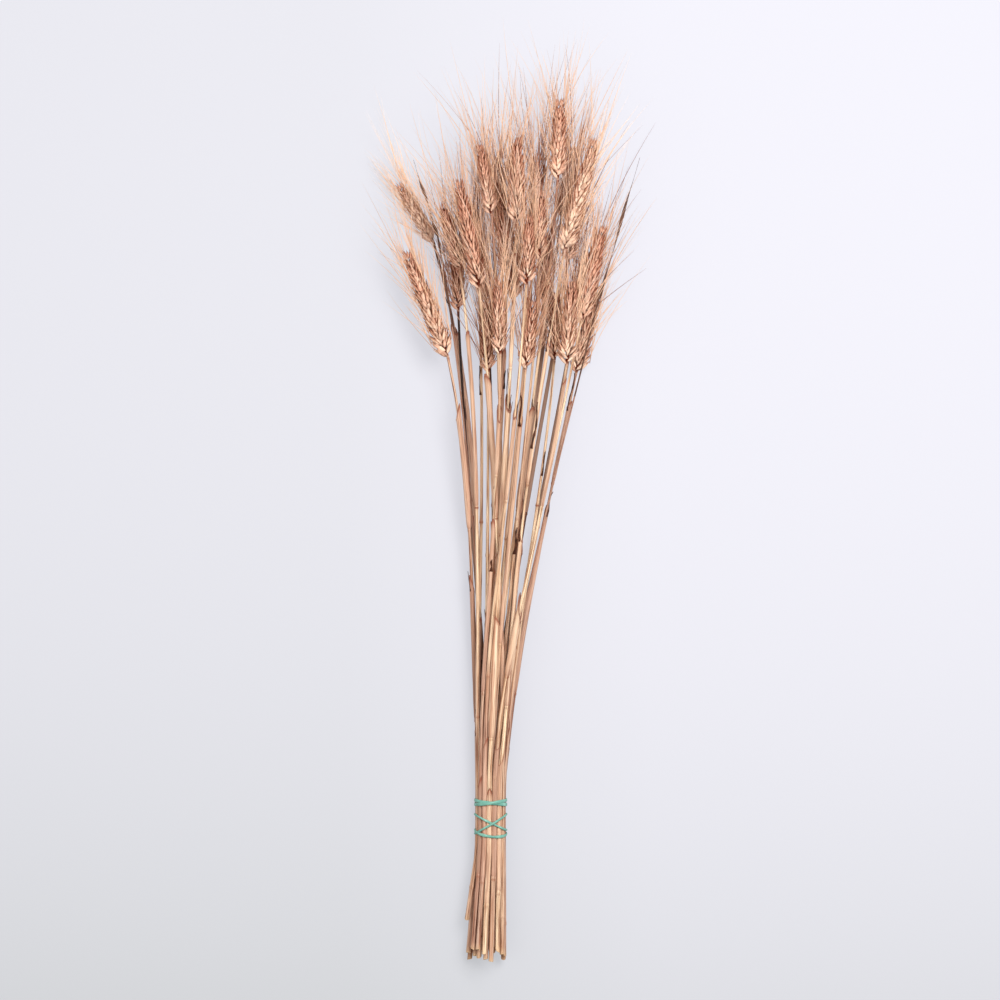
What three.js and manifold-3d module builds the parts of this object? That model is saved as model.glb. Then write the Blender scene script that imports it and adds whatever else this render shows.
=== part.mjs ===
// A tied bundle of dried bearded wheat, lying on a flat surface.
//
// The bunch lies along Y with its ears towards +Y, and +Z is up. Lengths are millimetres. Places in
// the bunch are given across (to the right of the tie's centre), along (from the lowest cut end) and
// up (from the surface).

import * as THREE from 'three';
import { mergeVertices } from 'three/addons/utils/BufferGeometryUtils.js';
import Module from 'manifold-3d';

const LENGTH = 770;
const ORIGIN_ACROSS = 15;

const TIE_ALONG = 118;
const TIE_HELD = [96, 142];
const TIE_LOOSEN = 45;
const TIE_RINGS = [
  { stems: 16, radius: 10.6, turn: 0.1 },
  { stems: 10, radius: 6.75, turn: 0.35 },
  { stems: 4, radius: 2.9, turn: 0.2 },
];

const STEM_RADIUS = { foot: 1.75, neck: 1.15 };
const STEM_SIDES = 5;
const STEM_STRETCH = 100;
const BUTT_SPREAD = 1.4;
const BUTT_SHIFT = -4;
const SHORT_STEM = { cut: 34, splay: -6.3 };
const CUTS = [0, 12];
const JOINT_SWELL = 0.4;
const JOINT_HALF = 2.6;
const JOINT_FIRST = [14, 80];
const JOINT_STEP = [130, 185];
const JOINT_FREE = 90;
const SHEATH_LENGTH = [60, 105];
const SHEATH_WALL = 0.25;
const SHEATH_STEP = 1.2;
const SHEATH_FREE = 12;
const NECK_GAP = 0.3;

const EAR_REACH = 7.4;
const EAR_SINK = 1.8;
const EAR_TURN = 0.55;
const STRAY = 36;
const SPIKELET_RANK = 8;
const SPIKELET = { length: 16, wide: 5, thick: 3.4, lean: 0.5, belly: 0.4 };
const SPIKELET_EVEN_EAR = 68;
const END_SPIKELET = { length: 0.8, wide: 0.6 };
const CORE = { wide: 3.5, thick: 1.2 };

const AWNS_AN_EAR = 7;
const AWN_FROM = 0.92;
const AWN_FAN = 1.3;
const AWN_END_SPREAD = [0, 0.2];
const AWN_CURL = [-0.05, 0.1];
const AWN_APART = 0.8;
const AWN_LENGTH = [62, 105];
const AWN_SPREAD = [0.22, 0.5];
const AWN_RADIUS = { root: 0.55, bend: 0.45 };
const AWN_REACH = { across: [-109, 138], up: [2.5, 112] };
const AWN_TRIES = 60;
const AWN_SLICE = 4;
const AWN_STEPS = 16;

const BAND_RADIUS = 0.75;
const BAND_SIDES = 5;
const BAND_CENTRE = 13.65;
const BAND_TURN_STEPS = 18;
const BAND_OVER = 1.85;
const BAND_CLIMB = 0.12;
const TIE_UP = BAND_CENTRE + BAND_RADIUS;

const SLICE = 10;
const SETTLE_ROUNDS = 220;
const CLEARING_ROUNDS = 12;
const CLEARANCE = 0.6;

// Foot and tip of each ear: across, along, up. A stalk that crosses over the others comes from as far
// to the side as it says.
const EARS = [
  { foot: [-34, 495, 31], tip: [-70, 585, 35] },
  { foot: [-47, 590, 11], tip: [-77, 641, 3.2] },
  { foot: [-25, 567, 48], tip: [-41, 623, 54], flare: 1.3 },
  { foot: [-9, 550, 62], tip: [-27, 642, 70], crosses: 120 },
  { foot: [3, 610, 56], tip: [-7, 670, 60] },
  { foot: [21, 602, 70], tip: [21, 676, 78] },
  { foot: [54, 639, 58], tip: [56, 707, 62] },
  { foot: [60, 580, 62], tip: [86, 674, 70] },
  { foot: [74, 525, 42], tip: [92, 605, 46] },
  { foot: [29, 552, 76], tip: [32, 611, 84], flare: 1.35 },
  { foot: [8, 496, 70], tip: [6, 560, 78], crosses: -70 },
  { foot: [40, 573, 54], tip: [41, 633, 58] },
  { foot: [62, 488, 62], tip: [67, 560, 70], flare: 1.3 },
  { foot: [70, 482, 12], tip: [89, 558, 3.6] },
  { foot: [30, 484, 50], tip: [37, 544, 56] },
  { foot: [-27, 533, 24], tip: [-29, 594, 25] },
  { foot: [-2, 482, 42], tip: [-3, 543, 45] },
  { foot: [11, 565, 48], tip: [5, 631, 52] },
  { foot: [52, 492, 38], tip: [53, 552, 40] },
  { foot: [42, 541, 32], tip: [44, 600, 34] },
  { foot: [-10, 561, 33], tip: [-17, 624, 36] },
  { foot: [17, 541, 28], tip: [17, 603, 29] },
  { foot: [38, 602, 37], tip: [40, 664, 40] },
  { foot: [63, 572, 33], tip: [73, 636, 35] },
  { foot: [11, 602, 28], tip: [7, 664, 29] },
  { foot: [68, 520, 19], tip: [81, 586, 15] },
  { foot: [-3, 537, 14], tip: [-11, 597, 11] },
  { foot: [58, 610, 22], tip: [69, 672, 20] },
];

// Headless dry stalks that end in a narrow blade: across, along, up.
const DRY_BLADES = [
  { name: 'dry_blade_left', foot: [-43, 594, 32], tip: [-63, 656, 36], stray: 24 },
  { name: 'dry_blade_right', foot: [88, 541, 28], tip: [122, 658, 34], stray: -40 },
];
const DRY_RADIUS = { foot: 1.75, neck: 0.8 };
const BLADE = { wide: 1.4, thick: 0.5 };

// Levels of each band's windings along the bunch. Each winding runs over the top from one level to
// the next, and the last one crosses back over the others to the first.
const BANDS = [
  { name: 'band_upper', levels: [131.5, 128] },
  { name: 'band_lower', levels: [120, 107, 104] },
];

const COLOURS = {
  stems: [0xe6c193, 0xdcae80, 0xcf9c6e, 0xe9c99c],
  ear: 0xcf9468,
  dryBlade: 0x6e4a33,
  band: 0x5fb5a3,
};

const wasm = await Module();
wasm.setup();

// A die of whole numbers that gives the same draws everywhere.
function dieFrom(seed) {
  let state = (seed * 7919 + 17) % 2147483647;
  return (low = 0, high = 1) => {
    state = (state * 16807) % 2147483647;
    return low + ((high - low) * state) / 2147483647;
  };
}

function blend(from, to, share) {
  return from + (to - from) * share;
}

function clamp(value, low, high) {
  return Math.min(high, Math.max(low, value));
}

// A closed skin over rings of { centre, wide, thick }, its sections square to the run of the centres
// and their first corner at the given turn from the upper side. It ends in a point where its last
// ring has no width, and is a spindle where neither end has any.
function skinOver(rings, sides, turn = 0) {
  const rows = rings.length - 1;
  const shape =
    rings[0].wide > 0
      ? new THREE.CylinderGeometry(rings[rows].wide > 0 ? 1 : 0, 1, 1, sides, rows, false, turn)
      : new THREE.SphereGeometry(1, sides, rows, turn + Math.PI / 2);
  const frames = rings.map((ring, k) => {
    const before = rings[Math.max(0, k - 1)].centre;
    const after = rings[Math.min(rows, k + 1)].centre;
    const run = after.clone().sub(before).normalize();
    const side = run.clone().cross(ring.up ?? new THREE.Vector3(0, 0, 1)).normalize();
    return { side, lift: side.clone().cross(run) };
  });
  const place = shape.attributes.position;
  const onWall = (rows + 1) * (sides + 1);
  for (let v = 0; v < place.count; v += 1) {
    const fromTop = v < onWall ? Math.floor(v / (sides + 1)) : place.getY(v) > 0 ? 0 : rows;
    const { centre, wide, thick } = rings[rows - fromTop];
    const { side, lift } = frames[rows - fromTop];
    const out = Math.hypot(place.getX(v), place.getZ(v));
    const scale = out > 1e-6 ? 1 / out : 0;
    const point = centre.clone();
    point.addScaledVector(side, wide * place.getX(v) * scale);
    point.addScaledVector(lift, thick * place.getZ(v) * scale);
    place.setXYZ(v, point.x, point.y, point.z);
  }
  return shape;
}

function solidOf(shape) {
  const bare = shape.clone();
  bare.deleteAttribute('normal');
  bare.deleteAttribute('uv');
  const merged = mergeVertices(bare, 1e-4);
  return new wasm.Manifold(
    new wasm.Mesh({
      numProp: 3,
      vertProperties: new Float32Array(merged.attributes.position.array),
      triVerts: new Uint32Array(merged.index.array),
    }),
  );
}

// The shapes as one body, with what fusing seals filled and loose scraps dropped.
function fused(shapes) {
  const whole = shapes.map(solidOf).reduce((joined, next) => joined.add(next));
  const body = whole.decompose().reduce((most, next) => (next.volume() > most.volume() ? next : most));
  const mesh = body.getMesh();
  const shape = new THREE.BufferGeometry();
  shape.setAttribute('position', new THREE.BufferAttribute(new Float32Array(mesh.vertProperties), 3));
  shape.setIndex(new THREE.BufferAttribute(new Uint32Array(mesh.triVerts), 1));
  shape.computeVertexNormals();
  return shape;
}

// ---- Where each stalk runs ----

function tiePlaces() {
  return TIE_RINGS.flatMap(({ stems, radius, turn }) =>
    Array.from({ length: stems }, (_, k) => {
      const angle = turn + (2 * Math.PI * k) / stems;
      return { across: radius * Math.cos(angle), up: radius * Math.sin(angle) };
    }),
  );
}

// Two stalks swap places at the tie wherever that uncrosses them, judged by where each one seems to
// come from, so that a few still cross.
function uncross(stalks, places) {
  const slope = ({ foot, stray }) => ({
    across: (foot[0] + stray) / (foot[1] - TIE_ALONG),
    up: (foot[2] - TIE_UP) / (foot[1] - TIE_ALONG),
  });
  let swapped = true;
  while (swapped) {
    swapped = false;
    for (let a = 0; a < stalks.length; a += 1) {
      for (let b = a + 1; b < stalks.length; b += 1) {
        const [fromA, fromB] = [slope(stalks[a]), slope(stalks[b])];
        const across = (places[a].across - places[b].across) * (fromA.across - fromB.across);
        const up = (places[a].up - places[b].up) * (fromA.up - fromB.up);
        if (across + up < -1e-9) {
          [places[a], places[b]] = [places[b], places[a]];
          swapped = true;
        }
      }
    }
  }
}

function hermite(from, fromSlope, to, toSlope, span, share) {
  const s2 = share * share;
  const s3 = s2 * share;
  return (
    from * (2 * s3 - 3 * s2 + 1) +
    fromSlope * span * (s3 - 2 * s2 + share) +
    to * (3 * s2 - 2 * s3) +
    toSlope * span * (s3 - s2)
  );
}

// Where a stalk would run if nothing pushed it, as [across, up].
function freeRun(stalk, along) {
  const { foot, tip, place } = stalk;
  if (along <= TIE_HELD[1]) {
    const below = clamp(1 - along / TIE_HELD[0], 0, 1);
    const spread = blend(1, BUTT_SPREAD, below);
    const shift = BUTT_SHIFT + (stalk.splay ?? 0);
    return [place.across * spread + shift * below, TIE_UP + place.up * spread];
  }
  const earSpan = tip[1] - foot[1];
  if (along >= foot[1]) {
    const share = (along - foot[1]) / earSpan;
    return [blend(foot[0], tip[0], share), blend(foot[2], tip[2], share)];
  }
  const span = foot[1] - TIE_HELD[1];
  const share = (along - TIE_HELD[1]) / span;
  return [
    [place.across, foot[0], tip[0]],
    [TIE_UP + place.up, foot[2], tip[2]],
  ].map(([start, end, beyond]) => {
    const mean = (end - start) / span;
    const lean = (beyond - end) / earSpan;
    return hermite(start, 0.4 * mean, end, 0.6 * mean + 0.4 * lean, span, share);
  });
}

function stemRadius(stalk, along) {
  const share = clamp((along - TIE_ALONG) / (stalk.foot[1] - TIE_ALONG), 0, 1);
  return blend(stalk.radius.foot, stalk.radius.neck, share);
}

// Half the room that a stalk takes up at a height. The straws lie closest in the tie.
function room(stalk, along) {
  const share = (along - stalk.foot[1]) / (stalk.tip[1] - stalk.foot[1]);
  if (!stalk.ear || share < -0.12) {
    const fromTie = Math.max(TIE_HELD[0] - along, along - TIE_HELD[1]);
    return stemRadius(stalk, along) + JOINT_SWELL * clamp(fromTie / TIE_LOOSEN, 0, 1);
  }
  const body = share < 0.7 ? 1 : blend(1, 0.7, clamp((share - 0.7) / 0.3, 0, 1));
  const foot = blend(0.62, 1, clamp((share + 0.12) / 0.2, 0, 1));
  const flare = share < 0.45 ? stalk.flare : blend(stalk.flare, 1, clamp((share - 0.45) / 0.2, 0, 1));
  return EAR_REACH * body * foot * flare;
}

// The stalks push one another apart, slice by slice, until stems and ears lie clear.
function settle(stalks) {
  for (const stalk of stalks) {
    stalk.last = Math.ceil(stalk.tip[1] / SLICE);
    stalk.slices = Array.from({ length: stalk.last + 1 }, (_, k) => {
      const [across, up] = freeRun(stalk, k * SLICE);
      const held = k * SLICE > TIE_HELD[0] - SLICE && k * SLICE < TIE_HELD[1] + SLICE;
      const half = room(stalk, k * SLICE);
      const least = half > EAR_REACH / 2 ? half - EAR_SINK : half;
      return { across, up, moveAcross: 0, moveUp: 0, room: half, least, held };
    });
  }
  const most = Math.max(...stalks.map((stalk) => stalk.last));
  for (let round = 0; round < SETTLE_ROUNDS; round += 1) {
    for (let k = 0; k <= most; k += 1) {
      const here = stalks.filter((stalk) => stalk.last >= k).map((stalk) => stalk.slices[k]);
      if (here[0]?.held) {
        continue;
      }
      for (let a = 0; a < here.length; a += 1) {
        for (let b = a + 1; b < here.length; b += 1) {
          pushApart(here[a], here[b]);
        }
      }
      for (const disc of here) {
        disc.moveUp = Math.max(disc.moveUp, disc.least - disc.up);
      }
    }
    if (round < SETTLE_ROUNDS - CLEARING_ROUNDS) {
      stalks.forEach(easeMoves);
    }
  }
}

function pushApart(one, other) {
  const across = one.across + one.moveAcross - other.across - other.moveAcross;
  const up = one.up + one.moveUp - other.up - other.moveUp;
  const apart = Math.hypot(across, up) || 1e-6;
  const lack = one.room + other.room + CLEARANCE - apart;
  if (lack > 0) {
    const share = (0.5 * lack) / apart;
    one.moveAcross += across * share;
    one.moveUp += up * share;
    other.moveAcross -= across * share;
    other.moveUp -= up * share;
  }
}

// Evens out how far neighbouring slices of a stalk have moved, so that it bends gently.
function easeMoves(stalk) {
  const { slices, last } = stalk;
  for (const move of ['moveAcross', 'moveUp']) {
    const was = slices.map((slice) => slice[move]);
    for (let k = 0; k <= last; k += 1) {
      const mean = (was[Math.max(0, k - 1)] + was[Math.min(last, k + 1)]) / 2;
      slices[k][move] = slices[k].held ? 0 : blend(was[k], mean, 0.5);
    }
  }
}

// A stalk's centre at a height, in the part's frame.
function centreAt(stalk, along) {
  const k = clamp(Math.floor(along / SLICE), 0, stalk.last - 1);
  const share = along / SLICE - k;
  const [low, high] = [stalk.slices[k], stalk.slices[k + 1]];
  const across = blend(low.across + low.moveAcross, high.across + high.moveAcross, share);
  const up = blend(low.up + low.moveUp, high.up + high.moveUp, share);
  return new THREE.Vector3(across - ORIGIN_ACROSS, along - LENGTH / 2, up);
}

// ---- Stems ----

function jointHeights(stalk, die) {
  const heights = [];
  let along = stalk.cut + die(...JOINT_FIRST);
  while (along < stalk.foot[1] - JOINT_FREE) {
    const inTie = along > TIE_HELD[0] && along < TIE_HELD[1];
    heights.push(inTie ? along + TIE_HELD[1] - TIE_HELD[0] : along);
    along += die(...JOINT_STEP);
  }
  return heights;
}

function stemShape(stalk) {
  const die = dieFrom(stalk.number);
  const joints = jointHeights(stalk, die);
  const top = stalk.foot[1] - NECK_GAP;
  const topJoint = joints[joints.length - 1];
  const sheathEnd = Math.min(top - SHEATH_FREE, topJoint + die(...SHEATH_LENGTH));
  const marks = [{ along: stalk.cut, more: 0 }];
  for (const along of joints) {
    const after = along === topJoint ? SHEATH_WALL : 0;
    marks.push({ along: along - JOINT_HALF, more: 0 });
    marks.push({ along, more: JOINT_SWELL });
    marks.push({ along: along + JOINT_HALF, more: after });
  }
  marks.push({ along: sheathEnd, more: SHEATH_WALL });
  marks.push({ along: sheathEnd + SHEATH_STEP, more: 0 });
  marks.push({ along: top, more: 0 });
  marks.push(...TIE_HELD.map((along) => ({ along, more: 0 })));
  marks.sort((one, other) => one.along - other.along);
  const rings = [];
  marks.forEach((mark, k) => {
    const previous = marks[k - 1] ?? mark;
    const between = Math.ceil((mark.along - previous.along) / STEM_STRETCH);
    for (let n = 1; n < between; n += 1) {
      const along = blend(previous.along, mark.along, n / between);
      rings.push({ along, more: previous.more });
    }
    rings.push(mark);
  });
  return skinOver(
    rings.map(({ along, more }) => {
      const radius = stemRadius(stalk, along) + more;
      return { centre: centreAt(stalk, along), wide: radius, thick: radius };
    }),
    STEM_SIDES,
  );
}

// A thin dry stalk that goes over into a narrow flat blade.
function dryBladeShape(stalk) {
  const { foot, tip, cut } = stalk;
  const bends = [0.2, 0.4, 0.6, 0.8].map((share) => blend(TIE_HELD[1], foot[1], share));
  const rings = [cut, ...TIE_HELD, ...bends].map((along) => {
    const radius = stemRadius(stalk, along);
    return { centre: centreAt(stalk, along), wide: radius, thick: radius };
  });
  for (const [share, wide] of [[0, 0.6], [0.3, 1], [0.7, 0.85]]) {
    const centre = centreAt(stalk, blend(foot[1], tip[1], share));
    rings.push({ centre, wide: BLADE.wide * wide, thick: BLADE.thick });
  }
  rings.push({ centre: centreAt(stalk, tip[1]), wide: 0, thick: 0 });
  return skinOver(rings, STEM_SIDES);
}

// ---- Ears ----

// The straight run of an ear, with the directions of its run, of one rank of spikelets and of its face.
function earFrame(stalk) {
  const foot = centreAt(stalk, stalk.foot[1]);
  const tip = centreAt(stalk, stalk.tip[1]);
  const run = tip.clone().sub(foot).normalize();
  const level = run.clone().cross(new THREE.Vector3(0, 0, 1)).normalize();
  const rank = level.applyAxisAngle(run, stalk.turn);
  const at = (share) => foot.clone().lerp(tip, share);
  return { at, run, rank, face: rank.clone().cross(run) };
}

// Each spikelet's root, direction and size, in two ranks that alternate up the ear, then one at
// the tip.
function spikeletPlan(stalk, die) {
  const { at, run, rank, face } = earFrame(stalk);
  const length = stalk.tip[1] - stalk.foot[1];
  const size = clamp(length / SPIKELET_EVEN_EAR, 0.92, 1.1);
  const plan = [];
  for (let k = 0; k < 2 * SPIKELET_RANK; k += 1) {
    const share = (k + 0.3) / (2 * SPIKELET_RANK + 2);
    const out = rank.clone().multiplyScalar(k % 2 ? 1 : -1);
    const swell = Math.sin(Math.PI * clamp(share * 0.8 + 0.25, 0, 1)) ** 0.6;
    const flare = share < 0.25 ? stalk.flare : 1;
    const aim = run
      .clone()
      .addScaledVector(out, SPIKELET.lean * flare * die(0.94, 1.06))
      .addScaledVector(face, die(-0.05, 0.05))
      .normalize();
    plan.push({
      root: at(share),
      aim,
      out,
      length: SPIKELET.length * size * blend(0.8, 1, swell),
      wide: SPIKELET.wide * swell * size,
      thick: SPIKELET.thick * swell * size,
    });
  }
  plan.push({
    root: at(1 - (END_SPIKELET.length * SPIKELET.length) / length),
    aim: run,
    out: rank,
    length: SPIKELET.length * END_SPIKELET.length,
    wide: SPIKELET.wide * END_SPIKELET.wide,
    thick: SPIKELET.thick * END_SPIKELET.wide,
  });
  return plan;
}

// A three-sided spikelet, flat towards the ear's run and keeled outwards. Where it bears an awn, its
// point runs out into it.
function spikeletShape({ root, aim, out, length, wide, thick, awn }) {
  const along = (share) => root.clone().addScaledVector(aim, share * length);
  const ring = (share, size) => ({
    centre: along(share).addScaledVector(out, (thick * size) / 3),
    wide: (wide * size) / Math.sin(Math.PI / 3),
    thick: (thick * size * 2) / 3,
    up: out,
  });
  const rings = [ring(0, 0), ring(SPIKELET.belly, 1)];
  if (awn) {
    rings.push({ centre: along(AWN_FROM), wide: AWN_RADIUS.root, thick: AWN_RADIUS.root, up: out });
    rings.push({ centre: awn.bend, wide: AWN_RADIUS.bend, thick: AWN_RADIUS.bend, up: out });
    rings.push({ centre: awn.tip, wide: 0, thick: 0, up: out });
  } else {
    rings.push({ centre: along(1), wide: 0, thick: 0, up: out });
  }
  return skinOver(rings, 3);
}

function coreShape(stalk) {
  const { at, rank } = earFrame(stalk);
  const corner = Math.SQRT2;
  const rings = [
    [0, 0.45, 0.9],
    [0.04, 1, 1],
    [0.88, 1, 1],
  ].map(([share, wide, thick]) => ({
    centre: at(share),
    wide: CORE.wide * wide * corner,
    thick: CORE.thick * thick * corner,
    up: rank,
  }));
  return skinOver(rings, 4, Math.PI / 4);
}

// ---- Awns, each clear of all that isn't its own ear ----

// Least gap between a new awn and a run already placed, both as centres one slice apart.
function runsClear(awn, other, least) {
  const from = Math.max(awn.first, other.first);
  const to = Math.min(awn.last, other.last);
  let was = null;
  for (let k = from; k <= to; k += 1) {
    const mine = awn.at(k);
    const its = other.at(k);
    const now = [mine.x - its.x, mine.z - its.z];
    const need = least + other.room(k);
    if (was && nearestToZero(was, now) < need) {
      return false;
    }
    was = now;
  }
  return true;
}

// Distance from zero to the straight line between two points of a plane.
function nearestToZero(from, to) {
  const step = [to[0] - from[0], to[1] - from[1]];
  const length2 = step[0] ** 2 + step[1] ** 2 || 1e-9;
  const share = clamp(-(from[0] * step[0] + from[1] * step[1]) / length2, 0, 1);
  return Math.hypot(from[0] + step[0] * share, from[1] + step[1] * share);
}

// A bent line from a root, as centres that can be read at any slice of the awn grid.
function awnRun(root, aim, bend, length) {
  const pointAt = (share) =>
    root
      .clone()
      .addScaledVector(aim, share * length)
      .addScaledVector(bend, share * share * length);
  const steps = Array.from({ length: AWN_STEPS + 1 }, (_, n) => pointAt(n / AWN_STEPS));
  const first = Math.ceil(steps[0].y / AWN_SLICE);
  const last = Math.floor(steps[AWN_STEPS].y / AWN_SLICE);
  const at = (k) => {
    const y = k * AWN_SLICE;
    const after = clamp(steps.findIndex((step) => step.y >= y), 1, AWN_STEPS);
    const [low, high] = [steps[after - 1], steps[after]];
    return low.clone().lerp(high, (y - low.y) / (high.y - low.y));
  };
  const places = new Map();
  for (let k = first; k <= last; k += 1) {
    places.set(k, at(k));
  }
  return {
    first,
    last,
    at: (k) => places.get(k),
    room: () => AWN_RADIUS.root,
    lowest: Math.min(...steps.map((step) => step.z)),
    bend: pointAt(0.5),
    tip: pointAt(1),
  };
}

function stalkRun(stalk) {
  const first = Math.ceil((TIE_ALONG - LENGTH / 2) / AWN_SLICE);
  const last = Math.ceil((stalk.tip[1] + 3 - LENGTH / 2) / AWN_SLICE);
  const places = new Map();
  const rooms = new Map();
  for (let k = first; k <= last; k += 1) {
    const along = k * AWN_SLICE + LENGTH / 2;
    places.set(k, centreAt(stalk, along));
    rooms.set(k, room(stalk, along) * 0.97);
  }
  return { first, last, at: (k) => places.get(k), room: (k) => rooms.get(k), stalk };
}

// Gives every few spikelets an awn, drawn anew until it lies clear of the other stalks and their awns.
function growAwns(stalk, plan, die, placed) {
  const { run, face } = earFrame(stalk);
  const others = placed.filter((other) => other.stalk !== stalk);
  for (let n = 0; n < AWNS_AN_EAR; n += 1) {
    const last = n === AWNS_AN_EAR - 1;
    const spikelet = plan[Math.round((n / (AWNS_AN_EAR - 1)) * (plan.length - 1))];
    for (let attempt = 0; attempt < AWN_TRIES && !spikelet.awn; attempt += 1) {
      const angle = last ? die(-Math.PI, Math.PI) : die(-AWN_FAN, AWN_FAN);
      const spread = die(...(last ? AWN_END_SPREAD : AWN_SPREAD));
      const out = spikelet.out
        .clone()
        .multiplyScalar(Math.cos(angle))
        .addScaledVector(face, Math.sin(angle));
      const aim = run.clone().addScaledVector(out, spread).normalize();
      const bend = out.clone().multiplyScalar(die(...AWN_CURL));
      const root = spikelet.root.clone().addScaledVector(spikelet.aim, spikelet.length * AWN_FROM);
      const awn = awnRun(root, aim, bend, die(...AWN_LENGTH));
      const [left, right] = AWN_REACH.across.map((across) => across - ORIGIN_ACROSS);
      const inside =
        awn.tip.y <= LENGTH / 2 &&
        awn.tip.x > left &&
        awn.tip.x < right &&
        awn.tip.z < AWN_REACH.up[1] &&
        awn.lowest > AWN_REACH.up[0];
      if (inside && others.every((other) => runsClear(awn, other, AWN_RADIUS.root + AWN_APART))) {
        awn.stalk = stalk;
        placed.push(awn);
        spikelet.awn = awn;
      }
    }
  }
}

// ---- Bands ----

function bandShape({ levels }) {
  const points = [];
  for (let pass = 0; pass < levels.length; pass += 1) {
    const from = levels[pass];
    const to = levels[(pass + 1) % levels.length];
    const over = pass === levels.length - 1;
    for (let step = 0; step < BAND_TURN_STEPS; step += 1) {
      const angle = Math.PI - (2 * Math.PI * step) / BAND_TURN_STEPS;
      const share = clamp((2 * step) / BAND_TURN_STEPS, 0, 1);
      const hump = over ? clamp(share / BAND_CLIMB, 0, 1) * clamp((1 - share) / BAND_CLIMB, 0, 1) : 0;
      const radius = BAND_CENTRE + BAND_OVER * hump;
      const along = blend(from, to, share);
      points.push(
        new THREE.Vector3(
          radius * Math.cos(angle) - ORIGIN_ACROSS,
          along - LENGTH / 2,
          TIE_UP + radius * Math.sin(angle),
        ),
      );
    }
  }
  const loop = new THREE.CatmullRomCurve3(points, true);
  return new THREE.TubeGeometry(loop, points.length, BAND_RADIUS, BAND_SIDES, true);
}

// ---- The bundle ----

const group = new THREE.Group();

function add(name, shape, color, roughness) {
  const material = new THREE.MeshStandardMaterial({ color, roughness, metalness: 0 });
  const mesh = new THREE.Mesh(shape, material);
  mesh.name = name;
  group.add(mesh);
}

const stalks = EARS.map(({ foot, tip, flare = 1, crosses = 0 }, k) => {
  const die = dieFrom(k + 101);
  const number = k + 1;
  const cut = k > 0 ? die(...CUTS) : 0;
  const turn = die(-EAR_TURN, EAR_TURN);
  const stray = crosses + die(-STRAY, STRAY);
  return { number, foot, tip, flare, cut, ear: true, turn, stray, radius: STEM_RADIUS };
});
for (const [k, blade] of DRY_BLADES.entries()) {
  const cut = 6 + 9 * k;
  stalks.push({ ...blade, number: EARS.length + 1 + k, flare: 1, cut, ear: false, radius: DRY_RADIUS });
}

const places = tiePlaces();
uncross(stalks, places);
stalks.forEach((stalk, k) => {
  stalk.place = places[k];
});
const upper = stalks.filter(({ ear, cut, place }) => ear && cut > 0 && place.up > 0);
const leftmost = upper.reduce((most, next) => (next.place.across < most.place.across ? next : most));
Object.assign(leftmost, SHORT_STEM);
settle(stalks);

const placed = stalks.map(stalkRun);
for (const stalk of stalks) {
  if (!stalk.ear) {
    add(stalk.name, dryBladeShape(stalk), COLOURS.dryBlade, 0.8);
    continue;
  }
  const number = String(stalk.number).padStart(2, '0');
  const die = dieFrom(stalk.number + 500);
  const plan = spikeletPlan(stalk, die);
  growAwns(stalk, plan, die, placed);
  const shapes = [coreShape(stalk), ...plan.map(spikeletShape)];
  add(`stem_${number}`, stemShape(stalk), COLOURS.stems[stalk.number % COLOURS.stems.length], 0.45);
  add(`ear_${number}`, fused(shapes), COLOURS.ear, 0.75);
}
for (const band of BANDS) {
  add(band.name, bandShape(band), COLOURS.band, 0.4);
}

export default group;
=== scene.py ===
"""Looks of a tied bundle of dried bearded wheat that lies on a flat surface.

The bunch lies along Y with its ears towards +Y, and +Z is up. Places in the bunch are worked
out in millimetres across (to the right), along (from the lowest cut end) and up.
"""

import math

import bmesh
import bpy
import numpy as np
from mathutils import Matrix, Quaternion, Vector


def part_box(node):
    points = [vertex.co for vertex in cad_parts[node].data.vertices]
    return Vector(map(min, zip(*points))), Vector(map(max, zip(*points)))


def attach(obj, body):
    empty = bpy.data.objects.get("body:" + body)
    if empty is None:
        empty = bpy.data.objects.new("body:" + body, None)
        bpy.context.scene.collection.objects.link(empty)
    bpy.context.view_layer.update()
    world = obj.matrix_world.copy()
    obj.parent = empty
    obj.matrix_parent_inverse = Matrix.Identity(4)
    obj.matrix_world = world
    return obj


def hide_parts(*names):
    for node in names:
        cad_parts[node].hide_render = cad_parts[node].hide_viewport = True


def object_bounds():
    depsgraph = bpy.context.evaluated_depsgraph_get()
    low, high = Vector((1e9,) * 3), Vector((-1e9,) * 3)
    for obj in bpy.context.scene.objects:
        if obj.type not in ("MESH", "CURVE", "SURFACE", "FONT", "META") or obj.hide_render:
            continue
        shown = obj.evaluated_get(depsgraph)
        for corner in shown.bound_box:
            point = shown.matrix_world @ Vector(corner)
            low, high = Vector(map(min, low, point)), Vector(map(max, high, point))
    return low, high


bl_info = {
    "name": "Dried wheat bundle",
    "version": (1, 0, 0),
    "blender": (4, 5, 0),
    "location": "3D View > Sidebar > Wheat",
    "description": "Dresses a tied bundle of dried bearded wheat",
    "category": "Object",
}

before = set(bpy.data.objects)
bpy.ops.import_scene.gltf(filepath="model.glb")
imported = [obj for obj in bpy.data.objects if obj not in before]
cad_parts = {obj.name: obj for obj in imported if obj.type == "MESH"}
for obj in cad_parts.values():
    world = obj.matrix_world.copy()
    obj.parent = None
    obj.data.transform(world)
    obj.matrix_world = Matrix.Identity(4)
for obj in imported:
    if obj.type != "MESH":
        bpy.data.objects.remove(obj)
CAD_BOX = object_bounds()

MM = 0.001
UP = Vector((0, 0, 1))

# The bunch's length, and where the frame's middle lies across it.
LENGTH = 770.0
ORIGIN_ACROSS = 15.0

# Seeds of the dice for the layout, the thickness of a straw, its other looks, and its ear. The
# stalk's number is added to each.
LAYOUT_SEED = 100
STOUT_SEED = 300
STRAW_SEED = 700
EAR_SEED = 900

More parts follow.
